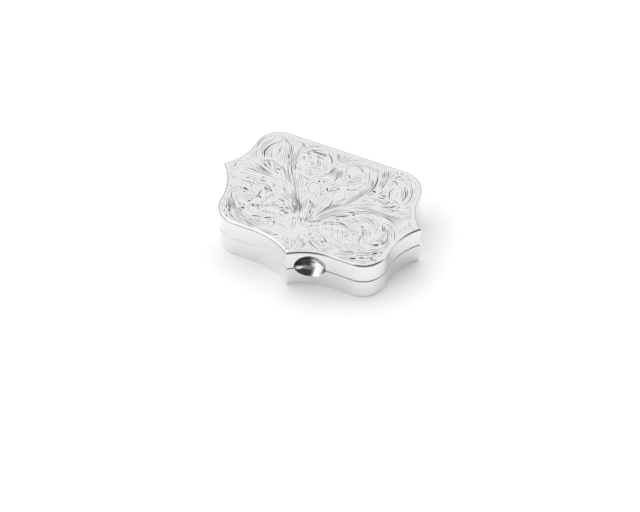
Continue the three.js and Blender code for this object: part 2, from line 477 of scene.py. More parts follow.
def hatch(first, last, lean, count, width):
    """Short cuts side by side that shade a patch, from first to last, each along lean."""
    first, last, lean = (np.asarray(v, float) for v in (first, last, lean))
    for t in np.linspace(0, 1, count):
        root = first + (last - first) * t + hand.uniform(-0.08, 0.08, 2)
        tip = root + lean * hand.uniform(0.7, 1.15)
        bow = np.array([-lean[1], lean[0]]) * hand.uniform(0.04, 0.14)
        flow([root, (root + tip) / 2 + bow, tip], width * hand.uniform(0.7, 1.3), 0.4, 0.25)


def leaf(points, lobes, reach, side, width=0.13, veins=2):
    """Acanthus lobes down one side of a spine, each an outline that curls over and a few veins."""
    line = resampled(points)
    out = normals_of(line) * side
    n = len(line) - 1
    for k in range(lobes):
        near, far = int(k / lobes * n), min(int((k + 1.2) / lobes * n), n)
        size = reach * (0.55 + 0.45 * math.sin(math.pi * (k + 0.6) / lobes)) * hand.uniform(0.85, 1.1)
        tip = line[far] + out[far] * size
        belly = (line[near] + tip) / 2 + out[near] * size * 0.4
        curl = tip + (line[far] - tip) * 0.45 + (line[far] - line[near]) * 0.12
        flow([line[near], belly, tip, curl], width, 0.62, 0.25)
        for v in range(veins):
            s = (v + 1) / (veins + 1)
            root = line[near] + (line[far] - line[near]) * s * 0.9
            goal = root + (tip - line[near]) * (0.75 - 0.3 * s)
            flow([root, (root + goal) / 2 + out[near] * size * 0.08, goal], width * 0.65, 0.35, 0.25)


def pecks(centre, size, count, width=0.11):
    """Dots pecked with the point of the graver."""
    for _ in range(count):
        angle = hand.uniform(0, 2 * math.pi)
        r = math.sqrt(hand.uniform(0, 1))
        spot = np.array(centre) + np.array(size) * r * np.array([math.cos(angle), math.sin(angle)])
        lean = hand.uniform(-0.5, 0.9)
        half = np.array([math.cos(lean), math.sin(lean)]) * hand.uniform(0.08, 0.17)
        cut([spot - half, spot, spot + half], width * hand.uniform(0.8, 1.3))


# %% [markdown]
# ### Laying out the lid
#
# Everything springs from one root near the front. From there bundles of hair lines run out to the
# two side cusps, past them into the corners, and over into four volutes and two lower scrolls, with
# a palmette on the middle line. The two halves answer each other without being copies: the engraver
# drew the second half by eye. Points are in millimetres on the lid, from its middle.


# %% The right half
def right_half():
    # from the root to the side cusp, and rays that run on into it
    hairs(
        [(0.2, -7.8), (1.7, -5.0), (3.4, -2.6), (6.7, 0.5), (10.0, 2.0), (13.5, 2.6), (20.4, 2.6)],
        [(0.8, -7.4), (2.9, -5.0), (5.0, -3.1), (8.0, -0.9), (10.8, 0.9), (14.2, 1.7), (19.8, 0.9)],
        4, 0.13, 4,
    )
    hairs(
        [(13.4, 2.6), (15.6, 2.5), (18.0, 2.6), (20.8, 2.5)],
        [(14.2, 1.9), (16.4, 1.6), (18.4, 1.2), (19.7, 0.7)],
        4, 0.17, 1,
    )
    hairs(
        [(15.0, 1.6), (16.8, 1.2), (18.4, 0.5), (19.6, -0.6)],
        [(15.8, 0.2), (17.0, -0.2), (18.0, -1.0), (19.0, -2.3)],
        4, 0.14, 1,
    )
    hairs([(12.6, 3.2), (15.0, 3.3), (17.2, 3.8)], [(12.4, 3.9), (14.4, 4.2), (16.4, 5.2)], 3, 0.12, 1)
    hatch((20.9, 1.7), (22.2, 0.5), (0.2, 1.0), 5, 0.11)
    hatch((19.2, 5.9), (20.1, 4.6), (0.5, 0.5), 5, 0.1)
    # the inner upper scroll and the long stems that carry it
    hairs(
        [(0.9, -6.6), (3.2, -1.6), (6.2, 1.8), (8.2, 4.6), (9.4, 8.0), (9.2, 11.6), (7.4, 13.9)],
        [(0.7, -5.6), (2.4, -1.2), (5.0, 2.0), (7.0, 4.6), (8.3, 7.4), (8.3, 10.6), (6.8, 12.9)],
        4, 0.12, 5,
    )
    flow([(9.0, 13.0), (9.6, 11.0), (9.75, 9.2), (9.4, 7.2), (8.7, 5.8)], 0.26, 0.45)
    flow([(8.2, 11.0), (9.0, 10.0), (9.45, 8.8)], 0.16)
    flow([(8.4, 10.3), (8.9, 9.4), (9.3, 8.4)], 0.13)
    flow([(5.5, 14.6), (6.6, 14.2), (7.6, 13.6), (8.1, 12.6)], 0.17)
    flow([(7.7, 14.6), (8.5, 14.0), (9.3, 13.0)], 0.16)
    hatch((6.8, 12.6), (7.9, 10.6), (0.45, -0.75), 7, 0.13)
    flow(
        [(3.9, 14.3), (2.5, 13.6), (1.9, 12.2), (2.2, 10.5), (3.4, 9.4), (5.0, 9.3), (6.1, 10.3),
         (6.2, 11.8)],
        0.12,
    )
    flow([(6.4, 13.2), (5.2, 13.7), (4.0, 13.3), (3.4, 12.5)], 0.13)
    hatch((4.4, 13.6), (6.2, 12.2), (-0.5, -0.6), 9, 0.1)
    hatch((3.0, 9.6), (3.8, 8.4), (0.5, 0.5), 4, 0.16)
    hairs([(7.0, 4.6), (7.4, 6.4), (8.0, 8.4)], [(8.0, 4.4), (8.6, 6.2), (9.0, 7.6)], 4, 0.12, 1)
    hatch((4.4, 5.2), (6.6, 6.2), (0.4, 0.7), 8, 0.12)
    pecks((5.0, 6.6), (1.3, 0.8), 22)
    # strokes between the two upper scrolls
    hairs([(9.6, 13.9), (10.2, 12.8), (10.7, 11.6)], [(10.4, 15.2), (11.0, 14.0), (11.6, 12.4)], 4, 0.15, 0)
    hairs([(10.3, 8.6), (10.5, 11.0), (10.0, 15.4)], [(11.9, 8.2), (11.6, 11.2), (12.6, 15.2)], 6, 0.12, 3)
    flow([(11.6, 12.4), (11.6, 10.6), (11.3, 8.2)], 0.17, 0.4)
    # dark leaf tips around the foot of the corner scroll
    flow([(9.8, 7.5), (10.3, 7.65), (10.8, 7.6)], 0.42)
    flow([(11.4, 7.0), (11.7, 7.9), (12.1, 8.8)], 0.2)
    flow([(12.0, 7.2), (12.8, 7.3), (13.5, 7.6)], 0.36)
    flow([(11.4, 6.5), (12.6, 6.5), (13.6, 6.8)], 0.32)
    flow([(13.8, 5.2), (14.3, 5.8), (14.9, 6.5)], 0.26)
    flow([(15.0, 4.7), (15.8, 5.1), (16.5, 5.9)], 0.3)
    flow([(15.7, 4.1), (16.8, 4.3), (17.7, 4.9)], 0.2)
    flow([(16.4, 5.0), (17.0, 5.4), (17.4, 6.0)], 0.16)
    flow([(13.9, 4.1), (14.3, 4.25), (14.7, 4.6)], 0.18)
    leaf([(10.4, 5.2), (12.4, 5.0), (14.6, 4.2), (16.6, 3.6)], 5, 1.0, 1, 0.12)
    hatch((12.0, 6.2), (14.0, 5.2), (0.3, -0.8), 7, 0.1)
    # the corner scroll
    flow([(16.7, 14.0), (17.1, 12.6), (18.0, 11.2), (18.4, 9.3), (18.2, 7.3), (17.4, 5.8)], 0.2, 0.5)
    flow([(15.5, 12.0), (16.4, 10.8), (17.2, 9.4), (17.1, 8.2), (16.7, 7.3)], 0.34, 0.55)
    flow([(15.9, 12.1), (17.0, 10.8), (17.6, 9.2)], 0.15)
    flow([(15.2, 11.2), (15.9, 10.2), (16.3, 9.0), (16.2, 7.9)], 0.13)
    hairs(
        [(17.3, 13.6), (18.6, 11.6), (19.2, 9.2), (18.8, 6.6)],
        [(17.0, 12.8), (18.1, 11.3), (18.6, 9.2), (18.2, 6.8)],
        2, 0.09, 3,
    )
    flow([(12.6, 12.0), (13.2, 12.4), (13.9, 12.2), (14.4, 11.3)], 0.24, 0.4)
    flow([(14.3, 10.9), (13.7, 9.9), (13.5, 8.9), (13.8, 7.8), (14.4, 6.5)], 0.22, 0.6)
    flow([(12.5, 14.0), (13.4, 13.9), (14.6, 14.4)], 0.16)
    flow([(12.7, 12.9), (13.3, 13.7), (13.9, 14.6)], 0.15)
    flow([(14.0, 13.5), (14.8, 13.7), (15.5, 13.9)], 0.16)
    flow([(12.6, 15.4), (12.9, 14.9), (13.2, 14.6)], 0.24)
    flow([(13.5, 15.2), (13.9, 15.2), (14.3, 15.1)], 0.26)
    flow([(15.6, 13.6), (16.2, 13.9), (16.9, 14.2)], 0.12)
    hatch((14.6, 11.6), (15.0, 8.0), (0.8, -0.3), 9, 0.09)
    hatch((15.2, 7.4), (16.6, 6.6), (0.4, -0.8), 5, 0.12)
    # the large lower scroll: arches over, winds round and ends in a dark hook
    flow([(4.9, -2.8), (6.4, -2.2), (8.2, -1.2)], 0.26, 0.7)
    flow([(7.5, -0.6), (8.2, -0.1), (9.6, -0.1)], 0.3, 0.35)
    flow([(9.9, -0.2), (11.6, -0.4), (12.8, -0.6), (14.0, -1.2), (14.7, -1.9)], 0.22, 0.6)
    flow([(9.8, -0.9), (11.4, -1.0), (12.6, -1.3), (13.9, -2.0), (14.7, -3.2)], 0.12)
    flow([(14.2, -1.5), (15.0, -2.3), (15.2, -3.4), (14.9, -3.9)], 0.15)
    flow([(8.5, -0.7), (8.85, -0.7), (9.2, -0.7)], 0.34)
    flow([(9.1, -1.7), (9.35, -1.7), (9.6, -1.6)], 0.3)
    flow([(9.7, -2.3), (10.2, -2.0), (10.7, -1.8)], 0.18)
    hairs([(3.4, -3.8), (6.0, -1.9), (9.0, -1.0), (12.0, -1.5), (13.4, -2.6)],
          [(4.2, -4.2), (6.0, -3.0), (8.6, -2.2), (11.0, -2.5), (12.2, -3.4)], 3, 0.1, 3)
    hatch((11.9, -3.2), (14.3, -3.6), (0.3, -1.2), 11, 0.11)
    hatch((12.6, -4.2), (14.6, -4.4), (-0.4, -0.9), 8, 0.09)
    flow([(11.6, -3.1), (11.95, -3.05), (12.4, -3.1)], 0.34)
    flow([(11.9, -3.7), (12.8, -4.8), (12.8, -6.0), (12.9, -7.2), (13.6, -8.3)], 0.17)
    flow([(12.3, -3.9), (13.2, -5.2), (13.2, -6.6)], 0.11)
    hairs(
        [(15.7, -0.5), (16.6, -2.2), (16.9, -4.0), (16.4, -5.6)],
        [(17.3, -0.9), (18.3, -3.0), (18.5, -5.0), (17.6, -6.8)],
        5, 0.13, 3,
    )
    flow([(15.6, -0.4), (16.1, -1.4), (16.5, -2.6)], 0.19)
    flow([(17.6, -1.9), (18.1, -3.3), (18.3, -4.9), (17.9, -6.2)], 0.17)
    flow([(14.3, -6.3), (15.2, -7.0), (16.3, -6.9), (17.3, -6.3)], 0.2, 0.7)
    flow([(16.0, -6.9), (16.8, -6.65), (17.4, -6.2)], 0.46)
    flow([(17.6, -6.2), (17.9, -5.6), (17.9, -5.0)], 0.3)
    hatch((16.4, -5.0), (17.6, -4.6), (-0.2, -1.1), 6, 0.12)
    # the border that carries the scroll round the front corner
    flow([(18.2, -0.6), (19.3, -2.2), (19.85, -4.0), (19.8, -5.8), (19.2, -7.4)], 0.2, 0.6)
    flow([(18.9, -7.7), (18.6, -8.2), (18.2, -8.6)], 0.24)
    flow([(18.1, -8.7), (17.5, -9.0), (16.9, -9.3)], 0.36)
    flow([(16.4, -9.4), (16.0, -9.6), (15.6, -9.8)], 0.27)
    flow([(15.9, -11.1), (15.3, -11.3), (14.8, -11.6)], 0.3)
    flow([(14.4, -11.9), (13.7, -12.3), (12.9, -12.6)], 0.38)
    flow([(11.4, -13.1), (10.7, -13.3), (10.0, -13.5)], 0.22)
    hairs([(19.0, -3.0), (19.3, -5.4), (18.4, -7.8), (16.0, -10.2), (12.6, -11.6), (8.6, -12.8)],
          [(18.7, -3.4), (18.6, -5.8), (17.6, -7.8), (14.8, -9.8), (11.6, -11.0), (8.0, -12.0)], 3, 0.12, 6)
    hairs(
        [(18.6, -8.8), (16.6, -10.8), (13.4, -12.2), (9.6, -13.4)],
        [(18.8, -9.4), (17.2, -11.4), (14.4, -12.9), (9.8, -13.2)],
        2, 0.12, 4,
    )
    hatch((16.6, -10.2), (18.6, -10.4), (-0.3, -0.9), 8, 0.13)
    pecks((17.6, -10.6), (0.9, 0.6), 14)
    # leaves and shading inside the lower scroll
    flow([(6.1, -4.15), (7.2, -4.0), (8.2, -4.1), (9.0, -4.6)], 0.28, 0.5)
    flow([(4.8, -4.9), (5.2, -4.6), (5.7, -4.4)], 0.24)
    flow([(5.2, -5.25), (5.6, -5.1), (6.0, -4.9)], 0.26)
    flow([(5.8, -3.7), (6.2, -3.45), (6.6, -3.3)], 0.24)
    flow([(4.4, -5.0), (4.1, -5.4), (3.9, -6.0)], 0.13)
    hairs([(4.6, -6.2), (4.8, -6.8), (5.2, -7.5)], [(8.9, -5.2), (9.3, -6.2), (9.4, -7.2)], 9, 0.12, 0)
    leaf([(3.2, -6.4), (5.0, -5.6), (7.2, -5.0), (9.4, -5.2)], 5, 1.0, 1, 0.12)
    leaf([(9.2, -5.4), (10.6, -5.6), (11.8, -6.2), (12.4, -7.6)], 4, 0.9, 1, 0.12)
    flow([(9.6, -7.7), (9.8, -6.9), (10.3, -6.6)], 0.2)
    flow([(10.2, -5.6), (11.0, -5.9), (11.6, -6.2)], 0.16)
    pecks((13.2, -8.9), (2.0, 0.9), 64, 0.12)
    leaf([(10.2, -8.6), (11.4, -9.4), (13.4, -10.4), (15.4, -10.0)], 5, 0.8, -1, 0.11)
    hairs([(6.8, -8.4), (9.0, -9.2), (11.4, -10.2)], [(7.0, -9.6), (8.8, -10.6), (11.0, -11.4)], 4, 0.09, 2)
    # the small leaf beside the front cusp
    flow([(2.5, -9.2), (2.4, -9.8), (2.5, -10.4)], 0.22)
    flow([(2.8, -10.9), (3.3, -10.5), (4.0, -10.3)], 0.17)
    flow([(2.6, -11.2), (3.2, -11.6), (4.0, -12.3), (5.2, -12.9), (6.5, -13.0)], 0.27, 0.35)
    flow([(5.1, -8.9), (5.6, -9.5), (6.2, -10.0), (6.9, -10.8)], 0.28, 0.5)
    flow([(5.4, -10.9), (5.9, -10.4), (6.4, -10.2)], 0.2)
    flow([(4.6, -8.6), (4.8, -9.3), (5.0, -9.9)], 0.14)
    hatch((3.4, -11.4), (5.6, -12.2), (0.6, 0.6), 7, 0.12)
    hatch((5.2, -10.8), (6.4, -11.8), (0.5, 0.3), 5, 0.12)
    pecks((1.9, -12.7), (0.9, 1.1), 26, 0.13)
    hatch((1.0, -12.4), (2.4, -13.4), (0.3, 0.7), 6, 0.15)


# %% [markdown]
# The left half answers it. Here the bundle of stems is the densest of the lid and runs past the cusp
# up into the corner, and the lower scroll is broken up by shading.


# %% The left half
def left_half():
    # the densest bundle: from the root past the side cusp and up into the corner
    hairs(
        [(-2.2, -6.2), (-3.3, -4.4), (-4.6, -2.2), (-6.8, 0.6), (-9.2, 3.2), (-11.4, 7.0),
         (-13.2, 11.6), (-15.4, 14.9)],
        [(-1.4, -6.6), (-2.3, -4.2), (-3.8, -1.4), (-5.6, 1.6), (-7.6, 4.6), (-9.0, 8.2),
         (-9.6, 11.6), (-10.4, 15.4)],
        9, 0.125, 6,
    )
    hairs(
        [(-2.8, -6.0), (-4.2, -4.2), (-5.8, -2.4), (-8.8, -0.4)],
        [(-2.6, -5.4), (-3.8, -3.4), (-5.2, -1.4), (-7.4, 1.1)],
        5, 0.14, 3,
    )
    hairs(
        [(-3.0, -6.2), (-4.6, -4.9), (-6.4, -3.9), (-9.4, -2.6)],
        [(-2.8, -5.8), (-4.4, -4.0), (-6.2, -2.6), (-9.2, -1.2)],
        3, 0.13, 3,
    )
    flow([(-8.9, 0.3), (-8.3, 0.0), (-7.5, -0.4)], 0.3)
    flow([(-3.9, -4.6), (-3.5, -5.2), (-3.15, -5.9)], 0.24)
    flow([(-3.1, -3.6), (-2.8, -4.1), (-2.6, -4.6)], 0.2)
    flow([(-3.1, -2.6), (-2.8, -3.0), (-2.5, -3.4)], 0.2)
    flow([(-3.2, -6.7), (-2.9, -7.0), (-2.6, -7.2)], 0.24)
    flow([(-8.4, -3.3), (-7.4, -3.2), (-6.5, -3.4)], 0.26, 0.6)
    flow([(-6.0, -4.5), (-5.4, -4.8), (-4.7, -5.2)], 0.34)
    flow([(-4.4, -5.0), (-4.0, -5.3), (-3.7, -5.9)], 0.2)
    # the rays of the side cusp
    hairs(
        [(-11.2, 3.0), (-13.4, 3.3), (-15.8, 4.2), (-18.2, 5.6)],
        [(-11.6, 2.3), (-14.0, 2.3), (-16.4, 2.4), (-18.9, 2.5)],
        5, 0.17, 2,
    )
    flow([(-13.2, 2.9), (-15.0, 3.6), (-16.3, 4.3)], 0.2)
    flow([(-18.9, 2.45), (-17.2, 2.5), (-15.6, 2.4)], 0.19)
    flow([(-15.3, 6.7), (-14.6, 5.7), (-13.6, 5.0)], 0.24)
    flow([(-15.6, 5.1), (-15.2, 4.9), (-14.8, 4.6)], 0.24)
    flow([(-13.5, 7.0), (-13.1, 5.6), (-12.4, 4.3), (-11.2, 3.5)], 0.14)
    flow([(-12.6, 5.0), (-11.9, 5.0), (-11.2, 4.9)], 0.36)
    flow([(-12.3, 6.7), (-11.3, 6.0), (-10.6, 5.2), (-9.9, 4.4)], 0.28, 0.7)
    flow([(-12.5, 4.4), (-12.0, 4.0), (-11.3, 3.5)], 0.24)
    flow([(-14.4, 1.3), (-14.0, 1.45), (-13.6, 1.6)], 0.2)
    flow([(-14.4, -0.1), (-13.5, 0.3), (-12.7, 0.5)], 0.2)
    flow([(-17.6, -0.5), (-17.0, -0.1), (-16.5, 0.0)], 0.2)
    hatch((-13.2, 6.6), (-11.4, 5.9), (0.2, -0.8), 8, 0.11)
    hatch((-22.9, 1.9), (-21.4, 3.4), (0.5, 0.6), 6, 0.17)
    hatch((-22.2, 3.1), (-21.6, 1.9), (0.8, 0.1), 5, 0.17)
    hatch((-22.3, -0.1), (-20.4, -1.4), (0.7, 0.1), 4, 0.15)
    hairs(
        [(-12.4, 3.9), (-14.6, 5.2), (-17.0, 7.0)],
        [(-12.0, 3.4), (-15.0, 4.6), (-18.6, 6.8)],
        3, 0.11, 1,
    )
    # the corner scroll
    flow([(-17.5, 15.2), (-17.2, 14.5), (-17.0, 14.0)], 0.18)
    flow([(-18.1, 13.8), (-18.9, 12.4), (-19.3, 10.4), (-19.2, 8.6)], 0.2, 0.6)
    flow([(-19.1, 8.8), (-18.6, 7.3), (-17.7, 5.9)], 0.14)
    flow([(-15.2, 12.3), (-16.4, 11.4), (-17.0, 9.8), (-17.0, 8.4), (-16.2, 6.7)], 0.34, 0.6)
    flow([(-17.7, 9.0), (-17.4, 8.1), (-17.0, 7.2)], 0.17)
    flow([(-15.7, 11.2), (-16.2, 10.0), (-16.2, 8.6), (-15.6, 7.2)], 0.12)
    flow([(-15.5, 9.2), (-15.3, 8.2), (-14.8, 7.4)], 0.16)
    flow([(-14.3, 10.2), (-14.0, 10.25), (-13.7, 10.2)], 0.34)
    flow([(-14.6, 12.4), (-14.2, 11.2), (-13.9, 9.2), (-14.0, 7.4)], 0.12)
    hairs(
        [(-16.6, 13.6), (-17.8, 12.0), (-18.3, 9.6), (-17.4, 7.0)],
        [(-15.6, 13.2), (-17.0, 12.0), (-17.6, 10.0), (-16.8, 7.4)],
        4, 0.1, 2,
    )
    flow([(-15.2, 15.0), (-14.4, 14.2), (-13.5, 13.6), (-12.8, 12.8)], 0.17, 0.6)
    flow([(-14.4, 14.6), (-13.6, 13.2), (-13.4, 12.8)], 0.13)
    flow([(-12.7, 13.6), (-12.1, 12.2), (-11.2, 10.7)], 0.18)
    hatch((-15.2, 9.8), (-14.2, 11.4), (0.6, -0.2), 6, 0.09)
    hatch((-16.2, 6.4), (-14.4, 7.2), (0.3, -0.9), 6, 0.13)
    # dark strokes along the upper stems
    flow([(-12.0, 10.3), (-11.6, 9.6), (-11.2, 8.6)], 0.24)
    flow([(-11.1, 8.7), (-10.6, 7.7), (-10.1, 6.9)], 0.2)
    flow([(-10.6, 9.4), (-10.2, 8.3), (-9.4, 6.6), (-8.4, 4.4)], 0.17)
    flow([(-9.3, 8.2), (-8.8, 7.4), (-8.3, 6.2)], 0.22)
    flow([(-9.4, 7.4), (-9.0, 6.8), (-8.6, 6.0)], 0.15)
    hatch((-10.6, 15.0), (-9.4, 14.4), (0.3, -1.4), 4, 0.13)
    flow([(-9.9, 15.6), (-9.9, 13.0), (-9.8, 10.4), (-9.2, 8.6)], 0.13)
    hatch((-8.8, 8.2), (-8.4, 10.2), (-0.5, 0.7), 5, 0.12)
    # the inner upper scroll
    flow([(-8.4, 11.6), (-7.9, 12.8), (-6.8, 13.8), (-5.4, 14.2), (-4.2, 14.1)], 0.2, 0.4)
    flow([(-3.9, 14.1), (-3.0, 13.5), (-2.2, 12.6), (-1.75, 11.7), (-2.0, 10.8)], 0.26, 0.4)
    flow([(-8.4, 11.2), (-8.2, 10.6), (-7.9, 9.9)], 0.2)
    flow([(-7.0, 12.9), (-6.4, 13.3), (-5.4, 13.3), (-4.3, 12.9), (-3.6, 12.3)], 0.24)
    hatch((-7.2, 13.6), (-4.0, 13.7), (0.3, -0.95), 16, 0.15)
    hatch((-6.0, 12.6), (-4.2, 12.3), (0.3, -0.8), 8, 0.12)
    flow([(-5.1, 11.8), (-4.9, 10.8), (-4.3, 10.0), (-3.8, 9.4)], 0.24, 0.4)
    flow([(-4.7, 11.4), (-4.2, 10.6), (-3.7, 9.8)], 0.14)
    flow([(-6.3, 9.5), (-5.8, 9.8), (-5.2, 10.1)], 0.2)
    flow([(-7.0, 11.0), (-6.8, 11.15), (-6.5, 11.2)], 0.3)
    flow([(-7.9, 12.2), (-7.5, 12.3), (-7.1, 12.1)], 0.26)
    flow([(-7.0, 9.0), (-6.9, 8.8), (-6.6, 8.7)], 0.22)
    flow([(-7.8, 14.6), (-6.6, 15.1), (-5.2, 15.9)], 0.17)
    flow([(-8.8, 14.2), (-8.0, 14.5), (-7.2, 14.6)], 0.12)
    hatch((-8.4, 12.6), (-7.4, 11.2), (0.6, -0.1), 6, 0.12)
    pecks((-5.4, 6.9), (0.9, 1.1), 40, 0.13)
    pecks((-4.0, 6.3), (1.0, 0.6), 22, 0.11)
    hatch((-6.9, 4.4), (-5.9, 2.6), (0.1, -0.9), 4, 0.13)
    hatch((-6.2, 5.6), (-4.4, 5.2), (0.3, -0.7), 7, 0.12)
    flow([(-4.8, 4.4), (-4.3, 4.0), (-4.5, 3.3), (-4.0, 2.6)], 0.15)
    # the lower scroll, broken up by shading
    flow([(-13.2, -0.9), (-12.4, -0.6), (-11.6, -0.7), (-10.9, -1.4), (-10.2, -1.7)], 0.22, 0.5)
    hatch((-12.6, -1.0), (-10.9, -1.2), (0.25, -1.2), 9, 0.16)
    hatch((-11.2, -0.1), (-10.0, -1.2), (0.5, 0.1), 4, 0.16)
    flow([(-11.2, 0.0), (-10.8, 0.15), (-10.4, 0.0)], 0.24)
    flow([(-12.6, -2.4), (-12.9, -3.2), (-12.7, -4.0), (-13.4, -5.0)], 0.26, 0.5)
    hatch((-13.2, -2.2), (-13.0, -4.6), (0.8, -0.2), 9, 0.12)
    flow([(-12.5, -4.45), (-12.1, -4.35), (-11.8, -4.3)], 0.4)
    flow([(-13.2, -5.0), (-13.5, -5.6), (-13.6, -6.3)], 0.15)
    hatch((-17.0, -3.2), (-15.6, -3.5), (0.2, -0.5), 7, 0.2)
    flow([(-16.9, -3.6), (-16.2, -3.3), (-15.6, -3.6)], 0.36)
    flow([(-16.6, -4.4), (-16.1, -4.3), (-15.5, -4.4)], 0.22)
    hatch((-17.8, -1.0), (-15.2, -0.9), (0.3, -0.6), 9, 0.13)
    hatch((-18.0, -2.0), (-17.2, -4.6), (0.5, 0.2), 6, 0.11)
    flow([(-19.9, -4.1), (-19.6, -4.0), (-19.3, -4.1)], 0.2)
    flow([(-15.0, -1.0), (-15.4, -2.0), (-15.2, -3.0)], 0.12)
    flow([(-14.4, -6.9), (-13.9, -6.4), (-13.4, -6.2)], 0.28)
    flow([(-14.7, -8.8), (-14.2, -8.85), (-13.8, -8.7)], 0.46)
    flow([(-15.9, -7.8), (-15.5, -8.0), (-15.1, -7.8)], 0.28)
    flow([(-14.9, -7.4), (-14.5, -8.0), (-14.2, -8.6)], 0.18)
    flow([(-15.4, -9.2), (-14.8, -9.4), (-14.3, -9.8)], 0.24)
    hatch((-13.4, -6.8), (-11.2, -6.2), (0.5, -1.0), 9, 0.14)
    flow([(-12.7, -7.0), (-12.4, -7.4), (-12.1, -7.2)], 0.28)
    flow([(-11.7, -6.7), (-11.2, -7.4), (-11.0, -8.2)], 0.17)
    flow([(-11.6, -10.2), (-11.0, -10.0), (-10.2, -9.7), (-9.0, -9.6)], 0.26, 0.3)
    flow([(-8.9, -9.7), (-8.3, -9.3), (-7.4, -8.8)], 0.3)
    flow([(-6.6, -9.7), (-6.2, -9.9), (-5.9, -10.0)], 0.34)
    flow([(-10.4, -6.15), (-9.9, -6.1), (-9.4, -6.1)], 0.2)
    flow([(-9.2, -4.8), (-8.8, -4.6), (-8.3, -4.5)], 0.2)
    flow([(-6.8, -5.4), (-6.5, -5.2), (-6.1, -5.1)], 0.26)
    flow([(-6.9, -4.5), (-6.5, -4.3), (-6.1, -4.2)], 0.18)
    hatch((-10.2, -5.2), (-7.4, -4.6), (0.5, -0.9), 8, 0.11)
    hatch((-6.2, -5.6), (-4.6, -5.9), (-0.4, -0.9), 9, 0.15)
    hatch((-6.6, -7.0), (-5.0, -7.2), (0.5, -0.5), 6, 0.12)
    hatch((-9.9, -7.6), (-7.4, -7.2), (0.4, -0.7), 8, 0.12)
    pecks((-6.8, -9.6), (1.4, 1.5), 46, 0.15)
    pecks((-9.6, -7.6), (1.6, 0.8), 18, 0.12)
    pecks((-16.4, -1.6), (1.2, 0.8), 16, 0.13)
    leaf([(-4.0, -6.6), (-6.2, -6.2), (-8.4, -6.2), (-10.6, -7.2)], 5, 1.0, -1, 0.12)
    leaf([(-9.6, -1.6), (-10.9, -2.8), (-11.6, -4.6), (-11.4, -6.2)], 4, 0.9, 1, 0.12)
    leaf([(-9.0, -9.9), (-11.2, -10.6), (-13.4, -9.9), (-14.6, -8.2)], 5, 0.9, 1, 0.12)
    # the border round the front corner
    hairs([(-18.9, -5.6), (-18.6, -8.0), (-17.0, -10.8), (-14.2, -12.9), (-11.0, -13.4)],
          [(-17.4, -7.2), (-16.0, -9.2), (-13.6, -10.8), (-10.4, -11.8), (-7.4, -12.4)], 7, 0.15, 5)
    flow([(-18.7, -5.4), (-18.1, -6.8), (-17.2, -7.7)], 0.19)
    flow([(-17.9, -8.7), (-17.2, -9.7), (-16.4, -10.2)], 0.24)
    flow([(-17.3, -10.2), (-16.7, -10.8), (-16.4, -11.2)], 0.28)
    flow([(-18.2, -9.2), (-17.8, -10.1), (-17.5, -10.6)], 0.22)
    flow([(-16.2, -11.4), (-15.7, -11.9), (-15.0, -12.3)], 0.27)
    flow([(-17.0, -12.0), (-16.5, -12.6), (-16.0, -13.0)], 0.26)
    hairs(
        [(-12.4, -12.6), (-9.6, -13.3), (-6.0, -13.3), (-3.4, -13.9)],
        [(-12.6, -11.8), (-9.8, -12.5), (-6.4, -12.6), (-3.8, -13.1)],
        3, 0.12, 3,
    )
    flow([(-5.3, -13.3), (-4.5, -13.0), (-3.5, -12.8)], 0.18)
    flow([(-6.8, -13.6), (-6.2, -13.0), (-5.4, -12.7)], 0.13)
    flow([(-1.3, -13.8), (-1.1, -13.9), (-0.9, -14.0)], 0.34)
    flow([(-0.75, -15.4), (-0.6, -15.7), (-0.45, -16.0)], 0.28)
    flow([(-1.9, -12.8), (-1.7, -12.9), (-1.5, -12.8)], 0.22)
    pecks((-2.0, -13.4), (1.0, 0.8), 16, 0.13)
    hatch((-0.4, -12.3), (0.4, -13.2), (0.2, -0.5), 4, 0.18)


# %% [markdown]
# Between the halves stands a palmette with two blank lobes, and below it is the root that all the
# stems come from.


